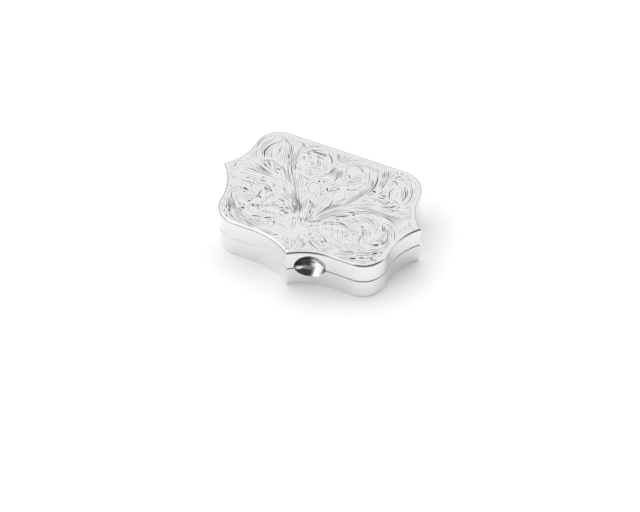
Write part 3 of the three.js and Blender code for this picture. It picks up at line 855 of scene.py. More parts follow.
# %% The middle and the root
def middle():
    # the palmette: two round blank lobes, a dark V between them and feathers below
    flow([(0.15, 4.5), (0.5, 3.9), (0.95, 3.35)], 0.4, 0.4)
    flow([(0.95, 3.3), (1.3, 3.7), (1.7, 4.3)], 0.24)
    flow([(2.3, 4.8), (2.7, 5.1), (3.1, 5.3)], 0.24)
    flow([(-1.4, 5.6), (-1.1, 5.75), (-0.8, 5.8)], 0.38)
    flow([(-2.5, 5.5), (-2.15, 5.4), (-1.8, 5.3)], 0.36)
    flow([(-1.2, 3.3), (-0.95, 3.45), (-0.7, 3.5)], 0.24)
    flow([(-0.2, 2.5), (-0.25, 2.0), (-0.35, 1.5)], 0.26)
    flow([(-0.9, 2.2), (-1.6, 1.5), (-2.4, 1.5), (-3.2, 2.0), (-3.8, 3.0), (-3.7, 4.2), (-3.0, 5.0)], 0.1)
    flow([(2.0, 1.9), (2.9, 1.4), (3.9, 1.6), (4.8, 2.5), (4.9, 3.7), (4.3, 4.8), (3.4, 5.1)], 0.1)
    flow([(3.05, 1.5), (2.95, 0.6), (2.75, -0.4)], 0.22)
    hairs(
        [(-2.5, 1.4), (-2.3, 0.0), (-2.1, -1.4), (-1.4, -4.4)],
        [(-3.6, -1.2), (-3.0, -2.4), (-2.5, -3.8), (-1.8, -5.6)],
        4, 0.13, 2,
    )
    hairs(
        [(-1.6, -0.4), (-1.2, -2.4), (-0.6, -5.0), (0.0, -7.4)],
        [(1.9, 0.6), (1.5, -1.8), (0.9, -4.6), (0.4, -7.4)],
        7, 0.12, 3,
    )
    hairs([(2.7, -0.6), (2.2, -2.2), (1.2, -5.2)], [(3.0, 0.8), (2.8, -1.0), (1.4, -4.2)], 3, 0.12, 2)
    hatch((-1.7, -0.5), (-0.2, -1.6), (0.1, -1.0), 6, 0.16)
    flow([(-1.55, -0.6), (-1.45, -1.1), (-1.35, -1.5)], 0.34)
    flow([(-0.35, -3.2), (-0.3, -3.9), (-0.35, -4.6)], 0.24)
    flow([(-0.5, -5.6), (-0.4, -6.2), (-0.3, -6.8)], 0.2)
    # the root
    hatch((-2.2, -5.8), (1.0, -6.0), (0.35, -1.3), 9, 0.13)
    hatch((1.0, -6.6), (2.6, -6.0), (0.5, 0.9), 5, 0.16)
    hatch((-1.7, -7.4), (1.2, -7.9), (0.1, -0.6), 6, 0.15)
    flow([(-1.6, -6.0), (-1.2, -6.8), (-0.8, -7.6)], 0.22)
    flow([(1.2, -7.6), (1.6, -7.4), (2.0, -7.5)], 0.2)
    # feathers up the middle line to the back edge
    flow([(1.05, 11.2), (1.0, 9.0), (0.95, 6.4)], 0.24, 0.6)
    hairs([(-1.2, 7.4), (-1.0, 9.4), (-0.6, 11.2)], [(2.0, 7.0), (1.8, 9.0), (1.6, 10.8)], 8, 0.15, 1)
    hatch((-1.4, 7.6), (-0.6, 9.8), (0.3, 0.9), 5, 0.16)
    hairs([(-2.2, 15.2), (-1.4, 13.8), (-0.6, 12.4)], [(2.6, 15.2), (1.4, 13.4), (0.6, 12.0)], 7, 0.13, 1)
    flow([(-2.0, 15.1), (-1.5, 14.6), (-1.0, 13.8)], 0.2)
    flow([(-0.2, 15.2), (0.0, 14.6), (0.2, 13.8)], 0.15)
    hatch((2.2, 9.6), (3.0, 8.2), (0.4, -0.5), 4, 0.17)
    # light ground marks over the plain places
    hatch((2.8, 15.4), (8.6, 15.3), (0.7, -0.5), 11, 0.09)
    hatch((-8.6, 15.5), (-3.0, 15.4), (0.8, 0.3), 9, 0.09)
    hatch((3.4, -8.2), (9.4, -8.6), (0.8, -0.7), 10, 0.09)
    hatch((-12.8, 1.4), (-18.6, 0.8), (-0.8, -0.2), 9, 0.09)
    hatch((12.0, 1.0), (17.4, -0.2), (-0.9, 0.2), 6, 0.08)


# %% [markdown]
# ### Filling the ground
#
# Between the main strokes the engraver shades the leaves with much finer hairs, which follow the
# nearest stem and keep their distance from each other. A few places stay plain, because bright
# blank metal is what makes the shaded metal read.


# %% Fine hairs
BLANKS = (
    (-0.4, -10.2, 2.3), (-2.4, 3.3, 1.3), (3.4, 3.3, 1.4), (4.0, 11.4, 1.3), (-2.9, 11.9, 0.9),
    (13.1, 10.1, 0.9), (-11.9, -8.8, 1.2), (10.6, -3.4, 1.1), (15.2, -5.7, 1.0), (-19.2, -2.6, 1.2),
    (-19.0, 0.6, 1.4), (15.6, 0.4, 0.9), (-9.6, -3.9, 1.0), (9.4, -9.9, 1.2), (21.6, 2.9, 1.0),
)


STEP = 0.3
NEIGHBOURS = 14


def follow(spot, sense, places, ways, apart, steps):
    """Steps along the strokes that lie around, until another line comes too close."""
    walk = []
    heading = None
    for _ in range(steps):
        gaps = np.hypot(places[:, 0] - spot[0], places[:, 1] - spot[1])
        close = np.argpartition(gaps, NEIGHBOURS)[:NEIGHBOURS]
        if walk and gaps[close].min() < apart * 0.6:
            break
        if heading is None:
            heading = ways[close[0]] * sense
        signs = np.sign(ways[close] @ heading)[:, None]
        way = (ways[close] * signs / (gaps[close, None] + 0.15)).sum(0)
        heading = way / max(math.hypot(*way), 1e-9)
        spot = spot + heading * STEP
        walk.append(spot)
    return walk


def fine_hairs(tries, apart, width):
    """Hairs that start at random places and flow along their neighbours."""
    places = np.concatenate([line for line, half in cuts])
    ways = np.concatenate([along_of(line) for line, half in cuts])
    spots = hand.uniform(FIELD.min(0), FIELD.max(0), (tries, 2))
    spots = spots[inside(spots, FIELD)]
    for x, y, r in BLANKS:
        spots = spots[np.hypot(spots[:, 0] - x, spots[:, 1] - y) > r]
    for spot in spots:
        if np.hypot(places[:, 0] - spot[0], places[:, 1] - spot[1]).min() < apart:
            continue
        steps = int(hand.integers(3, 10))
        ahead = follow(spot, 1, places, ways, apart, steps)
        behind = follow(spot, -1, places, ways, apart, steps)
        line = np.array(behind[::-1] + [spot] + ahead)
        if len(line) < 6:
            continue
        kept = len(cuts)
        cut(line, width * hand.uniform(0.6, 1.4), hand.uniform(0.3, 0.7))
        if len(cuts) > kept:
            places = np.concatenate([places, cuts[-1][0]])
            ways = np.concatenate([ways, along_of(cuts[-1][0])])


DRAWN_AT = np.array([0.0, -0.15])
right_half()
left_half()
middle()
strong = len(cuts)
fine_hairs(9000, 0.37, 0.085)
print("strong cuts:", strong, "fine hairs:", len(cuts) - strong)
cuts = [(line + DRAWN_AT, half) for line, half in cuts]
widest = 2 * max(half.max() for line, half in cuts)
print("cuts in the lid:", len(cuts), "of up to", round(widest, 2), "mm wide")

# %% [markdown]
# ## Cutting the lines into the plate
#
# Each cut becomes two edges and a valley line between them. A constrained triangulation of the
# whole plate keeps all of those lines as edges, finds where cuts cross, and fills the plain metal
# between them with as few triangles as it can. Then every point is pushed down by the deepest cut
# that passes through it. The valley walls stay flat and crisp, which is what makes cut metal sparkle.

# %% Engraved surface
SLOPE = 0.62
EPSILON = 1e-5


def cut_outline(line, half):
    across = normals_of(line) * half[:, None]
    left = (line + across)[1:-1]
    right = (line - across)[1:-1]
    return np.concatenate([line[:1], left, line[-1:], right[::-1]]), line[1:-1]


def engraved_surface(border):
    points = [tuple(p) for p in border]
    edges = [(i, (i + 1) % len(border)) for i in range(len(border))]
    for line, half in cuts:
        rim, valley = cut_outline(line, half)
        first = len(points)
        points.extend(tuple(p) for p in rim)
        edges.extend((first + i, first + (i + 1) % len(rim)) for i in range(len(rim)))
        middle = len(points)
        points.extend(tuple(p) for p in valley)
        chain = [first, *range(middle, middle + len(valley)), first + len(line) - 1]
        edges.extend(zip(chain[:-1], chain[1:]))
    result = delaunay_2d_cdt([Vector(p) for p in points], edges, [], 1, EPSILON)
    return np.array([tuple(v) for v in result[0]]), [tuple(f) for f in result[2]]


def plain_triangles(flat, triangles):
    """Which triangles lie outside every cut, so that they must stay level."""
    middles = flat[np.array(triangles)].mean(axis=1)
    plain = np.ones(len(triangles), bool)
    for line, half in cuts:
        rim, valley = cut_outline(line, half)
        near = np.flatnonzero(np.all((middles > rim.min(0)) & (middles < rim.max(0)), axis=1) & plain)
        if len(near):
            plain[near] = ~inside(middles[near], rim)
    return plain


def cut_depth(flat):
    depth = np.zeros(len(flat))
    for line, half in cuts:
        reach = half.max()
        low, high = line.min(0) - reach, line.max(0) + reach
        near = np.flatnonzero(np.all((flat > low) & (flat < high), axis=1))
        if not len(near):
            continue
        spot = flat[near][:, None, :]
        a, b = line[:-1], line[1:]
        along = b - a
        t = np.clip(((spot - a) * along).sum(2) / (along**2).sum(1), 0, 1)
        gap = np.hypot(*np.moveaxis(spot - (a + along * t[..., None]), 2, 0))
        width = half[:-1] + (half[1:] - half[:-1]) * t
        deepest = (width - gap).max(axis=1)
        deepest[deepest < 0.03 * reach] = 0
        depth[near] = np.maximum(depth[near], deepest * SLOPE)
    return depth


border = outline(EDGE_R)
flat, triangles = engraved_surface(border)
plain = plain_triangles(flat, triangles)
depth = cut_depth(flat)
depth[np.unique(np.array(triangles)[plain])] = 0
print("level triangles:", int(plain.sum()))
on_border = np.abs(flat[:, None, :] - border[None, :, :]).sum(2).min(1) < 1e-4
print("surface points:", len(flat), "triangles:", len(triangles))
print("points kept on the border:", int(on_border.sum()), "of", len(border))
print("deepest cut, mm:", round(depth.max(), 3))

# %% [markdown]
# ### The lid's plate
#
# The engraved surface sits on the soft edge that the polishing mop left, then come the plate's side
# and its flat underside. All of it is one closed solid, and each point remembers how deep it was
# cut, so that the silver can be darker at the bottom of a cut, where the polish never reaches.


# %% Lid plate
def flat_cap(loop):
    result = delaunay_2d_cdt([Vector(p) for p in loop], [], [list(range(len(loop)))], 1, EPSILON)
    return [tuple(f) for f in result[2]]


def plate(name, material, inner_material, rings, top=None, cap_below=True):
    """A solid from rings of equal length, lowest first, closed below and above by flat caps."""
    columns = len(rings[0])
    points = list(np.concatenate(rings))
    faces = stack_faces(len(rings), columns)
    soft = len(faces)
    faces += [tuple(reversed(f)) for f in flat_cap(rings[0][:, :2])]
    below = len(faces)
    if top is None:
        first = (len(rings) - 1) * columns
        faces += [tuple(first + v for v in f) for f in flat_cap(rings[-1][:, :2])]
        lowered = np.zeros(len(points))
    else:
        flat_points, flat_faces, down = top
        ring = rings[-1]
        joined = {}
        for k in range(columns):
            gaps = np.abs(flat_points - ring[k, :2]).sum(1)
            joined[int(gaps.argmin())] = (len(rings) - 1) * columns + k
        number = {}
        for k, spot in enumerate(flat_points):
            if k in joined:
                number[k] = joined[k]
            else:
                number[k] = len(points)
                points.append(np.array([spot[0], spot[1], ring[0, 2] - down[k]]))
        faces += [tuple(number[v] for v in f) for f in flat_faces]
        lowered = np.zeros(len(points))
        for k in range(len(flat_points)):
            lowered[number[k]] = down[k]
    piece = make_object(name, points, faces, material, smooth=False)
    mesh = piece.data
    mesh.materials.append(inner_material)
    smooth = np.zeros(len(faces), bool)
    smooth[:soft] = True
    mesh.set_sharp_from_angle(angle=SOFT_BEND)
    mesh.polygons.foreach_set("use_smooth", smooth)
    if top is not None:
        attribute = mesh.attributes.new("cut", "FLOAT", "POINT")
        attribute.data.foreach_set("value", (lowered / DEEPEST).astype(np.float32))
    matt = np.zeros(len(faces), np.int32)
    if cap_below:
        mesh.materials.append(POLISHED)
        matt[: 2 * columns] = 2
        matt[soft:below] = 1
    else:
        matt[below:] = 1
    mesh.polygons.foreach_set("material_index", matt)
    return piece


DEEPEST = 0.12
rings = [lift(outline(0), LID_PLATE_LOW), lift(outline(0), (LID_PLATE_LOW + HEIGHT - EDGE_R) / 2)]
rings += [lift(outline(inset), z) for inset, z in rounding(EDGE_R, 12, HEIGHT, 1)]
lid_plate = plate("lid_plate_engraved", ENGRAVED_PAINTED_SHADE, INNER, rings, (flat, triangles, depth))
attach(lid_plate, "lid")
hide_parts("lid_top_plate")

# %% [markdown]
# ### The bottom plate
#
# The same sheet, turned over: a soft lower edge, a flat underside that the box rests on and the flat
# floor of the compartment.

# %% Bottom plate
FOOT_R = 0.28
rings = [lift(outline(inset), z) for inset, z in reversed(rounding(FOOT_R, 10, 0, -1))]
rings += [lift(outline(0), 0.5), lift(outline(0), BASE_PLATE_TOP)]
bottom_plate = plate("base_plate", POLISHED, INNER, rings, cap_below=False)
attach(bottom_plate, "base")
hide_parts("base_bottom_plate")

# %% [markdown]
# ## The walls
#
# Each wall is a strip of sheet bent to the outline. We sweep a closed section along the run: up the
# outside, over the edge, down the inside. The edges that meet at the joint are softened, and the
# joint is painted as a fine dark line: partly grime in the groove, partly painted shade, which is
# heavier on the right front walls than on the left.
#
# In the right front wall the thumb scoop is pressed in as a dish, part of a ball. Every point of
# the wall that lies within the ball moves straight in until it sits on the ball. The rim blends
# over a short way, as a pressed and polished edge does. The dish also gets painted shade: its left
# half and a patch at the far right are painted dark, and a band along the lip is left unpainted,
# so that it reads as a bright highlight.

# %% Walls
BASE_SOFT = 0.3
LID_SOFT = 0.12
SCOOP_X = 4.6
SCOOP_Z = 5.85
SCOOP_RIM = 3.35
SCOOP_DEPTH = 1.9
SCOOP_WALL = 0.5
SCOOP_ROWS = 70
RIM_SOFT = 0.05
RIM_SOFT_INSIDE = 0.3
# How dark the joint line is painted on each front wall: grime in the groove and painted shade.
JOINT_GRIME_AND_SHADE_LEFT = 0.5
JOINT_GRIME_AND_SHADE_RIGHT = 1.0
# How much the painted shade in the scoop leans with depth.
SHADE_LEAN = 1.17
BALL_R = (SCOOP_RIM**2 + SCOOP_DEPTH**2) / (2 * SCOOP_DEPTH)
on_wall = np.array([SCOOP_X, FRONT_C[1] + math.sqrt(FRONT_R**2 - (SCOOP_X - FRONT_C[0]) ** 2)])
DISH_IN = np.append((on_wall - FRONT_C) / np.hypot(*(on_wall - FRONT_C)), 0)
BALL_C = np.append(on_wall, SCOOP_Z) - DISH_IN * (BALL_R - SCOOP_DEPTH)


def pressed(points, radius, soften):
    """How far each point of a skin moves in to lie on the ball, with a soft rim."""
    away = points - BALL_C
    along = away @ DISH_IN
    aside = np.sqrt(np.maximum((away**2).sum(-1) - along**2, 0))
    reach = np.sqrt(np.maximum(radius**2 - aside**2, 0))
    push = np.where(aside < radius, reach - along, -along)
    return (push + np.sqrt(push**2 + soften**2)) / 2 * np.clip(radius + 1 - aside, 0, 1)


def ramp(value, low, high):
    t = np.clip((value - low) / (high - low), 0, 1)
    return t * t * (3 - 2 * t)


def dish_painted_shade(points, push):
    """Painted shade in the dish: dark over its left half and a patch at the far right, not on a band along
    the lip.

    The marks lean: the deeper a point lies, the higher it counts.
    """
    to_right = np.array([-DISH_IN[1], DISH_IN[0], 0]) * -1
    s = (points - BALL_C) @ to_right
    rise = points[:, 2] - JOINT_Z + SHADE_LEAN * push
    upper = ramp(rise, 0.3, 0.9) * ramp(-s, -1.3, 0.5)
    lower = ramp(-rise, 0.1, 0.5) * ramp(-s, -1.3, 0.2) * 0.9
    far_right = ramp(s, 2.3, 2.9) * ramp(-rise, -0.3, 0.3) * 0.8
    return np.maximum(np.maximum(upper, lower), far_right) * ramp(push, 0.0, 0.08)


def wall_section(low, high, soft_low, soft_high, rows):
    """A closed loop of (inset, height): up the outside, over the top, down the inside, back."""
    outside = np.linspace(low + soft_low, high - soft_high, rows)
    loop = [(0.0, z) for z in outside]
    if soft_high:
        loop += rounding(soft_high, 4, high, 1)[1:]
    loop += [(SHEET, z) for z in np.linspace(high, low, rows)]
    if soft_low:
        loop += list(reversed(rounding(soft_low, 4, low, -1)))[:-1]
    return loop


def sweep(name, grid, material, inner_material=None, inner_rows=None):
    """A closed solid from a grid of points: rows go round the section, columns along the run."""
    rows, columns = grid.shape[:2]
    faces = []
    matt = []
    for i in range(rows):
        k = (i + 1) % rows
        for j in range(columns - 1):
            faces.append((i * columns + j, i * columns + j + 1, k * columns + j + 1, k * columns + j))
            matt.append(1 if inner_rows and inner_rows[0] <= i < inner_rows[1] else 0)
    faces.append(tuple(i * columns for i in range(rows)))
    faces.append(tuple(i * columns + columns - 1 for i in reversed(range(rows))))
    matt += [0, 0]
    piece = make_object(name, grid.reshape(-1, 3), faces, material)
    if inner_material:
        piece.data.materials.append(inner_material)
        piece.data.polygons.foreach_set("material_index", np.array(matt, np.int32))
    return piece


def scoop_run(inset):
    """The right front run with closely spaced points along the hollow that holds the scoop."""
    return front_run(inset, SCOOP_STEPS)


def left_run(inset):
    return mirrored(front_run(inset))


def wall(name, run, low, high, soft_low, soft_high, rows, scoop=False, joint_grime_and_shade=0.0):
    section = wall_section(low, high, soft_low, soft_high, rows)
    grid = skin(run, section)
    # Painted grime and shade along the joint, per point of the section.
    grime_and_painted_shade = np.zeros(grid.shape[:2])
    joint, reach = (high, soft_high) if soft_high else (low, soft_low)
    for i, (inset, z) in enumerate(section):
        if inset < SHEET - 0.01:
            grime_and_painted_shade[i] = joint_grime_and_shade * max(0.0, 1 - abs(z - joint) / reach) ** 0.5
    inner_first = rows + (4 if soft_high else 0)
    if scoop:
        for i, (inset, z) in enumerate(section):
            deep = inner_first <= i < inner_first + rows
            base_line = lift(run(SHEET if deep else 0.0), z)
            thick = SCOOP_WALL if deep else 0
            push = pressed(base_line, BALL_R + thick, RIM_SOFT_INSIDE if deep else RIM_SOFT)
            grid[i] += push[:, None] * DISH_IN
            if not deep:
                # In the scoop the painted joint line gives way to the scoop's painted shade.
                grime_and_painted_shade[i] = np.maximum(grime_and_painted_shade[i] * (push < 0.05), dish_painted_shade(grid[i], push))
    return grid, (inner_first, inner_first + rows - 1), grime_and_painted_shade


def add_wall(name, body, run, replaced, scoop=False, rows=6, joint_grime_and_shade=0.0):
    limits = {
        "base": (BASE_PLATE_TOP, BASE_TOP, 0, BASE_SOFT),
        "lid": (LID_BOTTOM, LID_PLATE_LOW, LID_SOFT, 0),
    }[body]
    grid, inner, grime_and_painted_shade = wall(name, run, *limits, rows, scoop, joint_grime_and_shade)
    piece = sweep(name, grid, POLISHED, INNER, inner)
    # The painted grime and shade go to the material as a point attribute.
    attribute = piece.data.attributes.new("grime_and_painted_shade", "FLOAT", "POINT")
    attribute.data.foreach_set("value", grime_and_painted_shade.ravel().astype(np.float32))
    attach(piece, body)
    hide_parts(*replaced)
    return piece


# The right front walls get a heavier painted joint line than the left ones, as painted shade.
for body in ("base", "lid"):
    add_wall(f"{body}_front_left", body, left_run, [f"{body}_wall_front_left"], joint_grime_and_shade=JOINT_GRIME_AND_SHADE_LEFT)
    scoop_nodes = [f"{body}_wall_front_right", f"{body}_scoop"]
    name = f"{body}_front_right"
    add_wall(name, body, scoop_run, scoop_nodes, scoop=True, rows=SCOOP_ROWS, joint_grime_and_shade=JOINT_GRIME_AND_SHADE_RIGHT)

# %% [markdown]
# The back wall has a round channel along the hinge, in which the knuckles sit. Two sections with
# the same number of points do it: the plain one, and one whose edge follows the channel.

# %% Back walls
CHANNEL_R = 0.95


def channel_edge(up, steps=12):
    """The part of the channel that cuts the back wall, from the outside in."""
    start = math.pi / 2
    end = math.acos(SHEET / CHANNEL_R)
    turn = np.linspace(start, end, steps)
    return [(CHANNEL_R * math.cos(t), JOINT_Z + up * CHANNEL_R * math.sin(t)) for t in turn]


def back_grid(body, rows=6, steps=12):
    up = -1 if body == "base" else 1
    low, high = (BASE_PLATE_TOP, BASE_TOP) if body == "base" else (LID_BOTTOM, LID_PLATE_LOW)
    edge_z = BASE_TOP if body == "base" else LID_BOTTOM
    far_z = BASE_PLATE_TOP if body == "base" else LID_PLATE_LOW
    plain_edge = rounding(BASE_SOFT if up < 0 else LID_SOFT, 4, edge_z, -up)
    spare = [(x, edge_z) for x in np.linspace(plain_edge[-1][0], SHEET, steps - 5 + 1)[1:]]
    plain = plain_edge + spare
    cut_edge = channel_edge(up, len(plain))

    def section(edge):
        outside = [(0.0, z) for z in np.linspace(far_z, edge[0][1], rows)][:-1]
        inside = [(SHEET, z) for z in np.linspace(edge[-1][1], far_z, rows)][1:]
        loop = outside + list(edge) + inside
        return loop if up < 0 else list(reversed(loop))

    grids = [skin(back_run, section(edge)) for edge in (plain, cut_edge)]
    count = len(back_run(0))
    first = len(side_run(0))
    last = count - first - 1
    columns = [grids[0][:, : first + 1], grids[1][:, first : last + 1], grids[0][:, last:]]
    loop_rows = len(section(plain))
    inner = (loop_rows - rows, loop_rows - 1) if up < 0 else (0, rows - 1)
    return np.concatenate(columns, axis=1), inner


for body in ("base", "lid"):
    grid, inner = back_grid(body)
    piece = sweep(f"{body}_back", grid, POLISHED, INNER, inner)
    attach(piece, body)
    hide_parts(f"{body}_wall_back")

# %% [markdown]
# ## The bezel
#
# A thin collar stands inside the base and guides the lid as it closes. It runs from one end of the
# hinge round the front to the other, with a notch where the scoop bulges in. Its upper edge is
# rounded so that the lid finds its way over it.

# %% Bezel
BEZEL_OUT = SHEET + FIT
BEZEL_IN = BEZEL_OUT + BEZEL
BEZEL_R = 0.17
NOTCH_R = BALL_R + SCOOP_WALL + 0.4


def bezel_run(inset):
    back_left = mirrored(side_run(inset))
    right = front_run(inset, SCOOP_STEPS)
    return np.concatenate([back_left, mirrored(right)[1:], right[1:], side_run(inset)[1:]])


def bezel_grid(rows=5):
    middle = bezel_run((BEZEL_OUT + BEZEL_IN) / 2)
    away = np.column_stack([middle - BALL_C[:2], np.zeros(len(middle))])
    along = away @ DISH_IN
    aside = np.sqrt(np.maximum((away**2).sum(1) - along**2, 0))
    notch = np.sqrt(np.maximum(NOTCH_R**2 - along**2 - aside**2, 0))
    height = np.where(notch > 0, np.minimum(SCOOP_Z - notch, BEZEL_TOP), BEZEL_TOP)
    turn = np.linspace(0, math.pi, 11)
    half = BEZEL / 2
    edge = [(BEZEL_OUT + half - half * math.cos(t), BEZEL_R * (math.sin(t) - 1)) for t in turn]
    grid = []
    for share in np.linspace(0, 1, rows, endpoint=False):
        line = bezel_run(BEZEL_OUT)
        top = height - BEZEL_R
        grid.append(np.column_stack([line, BASE_PLATE_TOP + share * (top - BASE_PLATE_TOP)]))
    for inset, below in edge:
        grid.append(np.column_stack([bezel_run(inset), height + below]))
    for share in np.linspace(0, 1, rows, endpoint=False)[::-1]:
        line = bezel_run(BEZEL_IN)
        top = height - BEZEL_R
        grid.append(np.column_stack([line, BASE_PLATE_TOP + share * (top - BASE_PLATE_TOP)]))
    return np.array(grid)


bezel = sweep("base_bezel_collar", bezel_grid(), INNER)
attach(bezel, "base")
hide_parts("base_bezel")

# %% [markdown]
# ## The hinge
#
# Seven short tubes sit in line behind the box, and a pin runs through them all. Four belong to the
# base and three to the lid. They are cut from one length of tube, so they are the same piece again
# and again. That is work for Geometry Nodes: we turn one tube, and the nodes set it out along the
# hinge line, each with its own small turn so that the tool marks don't line up.

# %% Turned pieces
KNUCKLE_R = 0.9
BORE_R = 0.45
PLUG_R = 0.43
KNUCKLE_LENGTH = span("base_knuckle_1", 0)[1] - span("base_knuckle_1", 0)[0]
PITCH = span("lid_knuckle_1", 0)[0] - span("base_knuckle_1", 0)[0]


def lathe(name, profile, material, around=40, closed=True):
    """Turns a profile of (along X, radius) points into a solid about the X axis."""
    points = []
    faces = []
    rings = []
    for x, r in profile:
        if r < 1e-6:
            rings.append([len(points)])
            points.append((x, 0.0, 0.0))
            continue
        rings.append(list(range(len(points), len(points) + around)))
        for k in range(around):
            angle = 2 * math.pi * k / around
            points.append((x, r * math.cos(angle), r * math.sin(angle)))
    pairs = list(zip(rings, rings[1:] + (rings[:1] if closed else [])))
    for one, two in pairs if closed else pairs[: len(rings) - 1]:
        for k in range(around):
            n = (k + 1) % around
            if len(one) == 1:
                faces.append((one[0], two[n], two[k]))
            elif len(two) == 1:
                faces.append((one[k], one[n], two[0]))
            else:
                faces.append((one[k], one[n], two[n], two[k]))
    return make_object(name, points, faces, material)


half = KNUCKLE_LENGTH / 2
soft = 0.09
turns = np.linspace(math.pi / 2, 0, 5)
end = [(-half + soft * (1 - math.sin(t)), KNUCKLE_R - soft * (1 - math.cos(t))) for t in turns]
waves = [(x, KNUCKLE_R - 0.004 * math.sin(3 * x)) for x in np.linspace(-half + 0.3, half - 0.3, 9)]
outer = end + waves + [(-x, r) for x, r in reversed(end)]
inner = [(half, BORE_R + 0.05), (half - 0.05, BORE_R), (-half + 0.05, BORE_R), (-half, BORE_R + 0.05)]
tube = lathe("knuckle_tube", outer + inner, POLISHED)

# %% [markdown]
# The node tree takes the count, the first place, the step and the metal as inputs, so one tree sets
# out the row of the base and the row of the lid. What comes out is kept as a plain mesh.


# %% Set out the knuckles
def knuckle_nodes():
    tree = bpy.data.node_groups.new("hinge_row", "GeometryNodeTree")
    face = tree.interface
    face.new_socket("Geometry", in_out="INPUT", socket_type="NodeSocketGeometry")
    inputs = {"Count": "Int", "First": "Vector", "Step": "Vector", "Turn": "Float", "Metal": "Material"}
    for label, kind in inputs.items():
        face.new_socket(label, in_out="INPUT", socket_type=f"NodeSocket{kind}")
    face.new_socket("Geometry", in_out="OUTPUT", socket_type="NodeSocketGeometry")
    kinds = {
        "given": "NodeGroupInput",
        "row": "GeometryNodeMeshLine",
        "turns": "FunctionNodeRandomValue",
        "about": "ShaderNodeCombineXYZ",
        "copies": "GeometryNodeInstanceOnPoints",
        "real": "GeometryNodeRealizeInstances",
        "metal": "GeometryNodeSetMaterial",
        "result": "NodeGroupOutput",
    }
    made = {label: tree.nodes.new(kind) for label, kind in kinds.items()}
    made["row"].mode = "OFFSET"
    made["turns"].data_type = "FLOAT"
    made["turns"].inputs["Seed"].default_value = 11
    links = (("given", "Count", "row", "Count"), ("given", "First", "row", "Start Location"),
             ("given", "Step", "row", "Offset"), ("row", "Mesh", "copies", "Points"),
             ("given", "Geometry", "copies", "Instance"), ("about", "Vector", "copies", "Rotation"),
             ("copies", "Instances", "real", "Geometry"), ("real", "Geometry", "metal", "Geometry"),
             ("given", "Metal", "metal", "Material"), ("metal", "Geometry", "result", "Geometry"))
    for a, out, b, into in links:
        tree.links.new(made[a].outputs[out], made[b].inputs[into])
    tree.links.new(made["given"].outputs["Turn"], made["turns"].inputs[3])
    tree.links.new(made["turns"].outputs[1], made["about"].inputs["X"])
    return tree


def set_out(name, source, values):
    """Runs the node tree on a copy of the source and keeps the result as a plain mesh."""
    carrier = source.copy()
    carrier.data = source.data.copy()
    bpy.context.scene.collection.objects.link(carrier)
    modifier = carrier.modifiers.new("row", "NODES")
    modifier.node_group = HINGE_ROW
    for item in HINGE_ROW.interface.items_tree:
        if item.in_out == "INPUT" and item.name in values:
            modifier[item.identifier] = values[item.name]
    bpy.context.view_layer.update()
    seen = carrier.evaluated_get(bpy.context.evaluated_depsgraph_get())
    mesh = bpy.data.meshes.new_from_object(seen)
    mesh.name = name
    bpy.data.objects.remove(carrier)
    piece = bpy.data.objects.new(name, mesh)
    bpy.context.scene.collection.objects.link(piece)
    print(f"{name}: {len(mesh.polygons)} faces")
    return piece


FULL_TURN = 6.283
HINGE_ROW = knuckle_nodes()
for body, count, start in (("base", 4, "base_knuckle_1"), ("lid", 3, "lid_knuckle_1")):
    first = (sum(span(start, 0)) / 2 * MM, HINGE_Y * MM, JOINT_Z * MM)
    step = (2 * PITCH * MM, 0, 0)
    values = {"Count": count, "First": first, "Step": step, "Turn": FULL_TURN, "Metal": POLISHED}
    row = set_out(f"{body}_knuckles", tube, values)
    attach(row, body)
    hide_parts(*[f"{body}_knuckle_{k + 1}" for k in range(count)])
bpy.data.objects.remove(tube)

# %% [markdown]
# The ends of the tube are stopped with short silver plugs, slightly domed by the burnisher. The pin
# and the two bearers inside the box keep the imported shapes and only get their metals.

# %% Plugs, pin and bearers
for side, node in ((-1, "hinge_plug_left"), (1, "hinge_plug_right")):
    low, high = span(node, 0)
    middle = (low + high) / 2
    long = high - low
    dome = [(long / 2 - 0.05 * (r / PLUG_R) ** 2, r) for r in np.linspace(0.0, PLUG_R, 7)]
    back = [(-long / 2, PLUG_R), (-long / 2, 0.0)]
    shape = dome + back
    shape = [(side * x, r) for x, r in shape]
    shape = shape if side < 0 else list(reversed(shape))
    plug = lathe(f"{node}_domed", shape, POLISHED, 32, closed=False)
    plug.data.transform(Matrix.Translation(Vector((middle, HINGE_Y, JOINT_Z)) * MM))
    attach(plug, "base")
    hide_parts(node)

for node, metal in (("hinge_pin", STEEL), ("base_hinge_bearer", INNER), ("lid_hinge_bearer", INNER)):
    kept = frame["nodes"][node]
    for slot in kept.material_slots:
        slot.material = metal

# %% [markdown]
# ## The studio
#
# Silver shows its surroundings, so lighting it means choosing what it sees. A white table and white
# walls make it bright, and one darker side, where the viewer stands, draws the dark lines: the cuts
# of the graver, the soft edge of the lid and one side of the scoop all turn towards it.

# %% Table
table_material = bpy.data.materials.new("table")
table_material.use_nodes = True
tree = Tree(table_material.node_tree)
soft_white = tree.blend(tree.noise(tree.place(), 30.0, 2.0), (0.97, 0.97, 0.97, 1), (1.0, 1.0, 1.0, 1))
card = tree.node("ShaderNodeBsdfPrincipled", {}, {"Base Color": soft_white, "Roughness": 0.9})
tree.node("ShaderNodeOutputMaterial", {}, {"Surface": card})
TABLE = 900
corners = [(-TABLE, -TABLE, 0), (TABLE, -TABLE, 0), (TABLE, TABLE, 0), (-TABLE, TABLE, 0)]
table = make_object("table", corners, [(0, 1, 2, 3)], table_material, smooth=False)

# %% [markdown]
# Directions are measured from the front of the box (-Y) towards its right (+X). The dark side lies
# at 46 degrees, and the low part of the far side is a little darker than the rest, so that the back
# of the box doesn't burn out. A faint extra light at 150 degrees lifts the right-hand walls. One
# large soft lamp stands at the left.

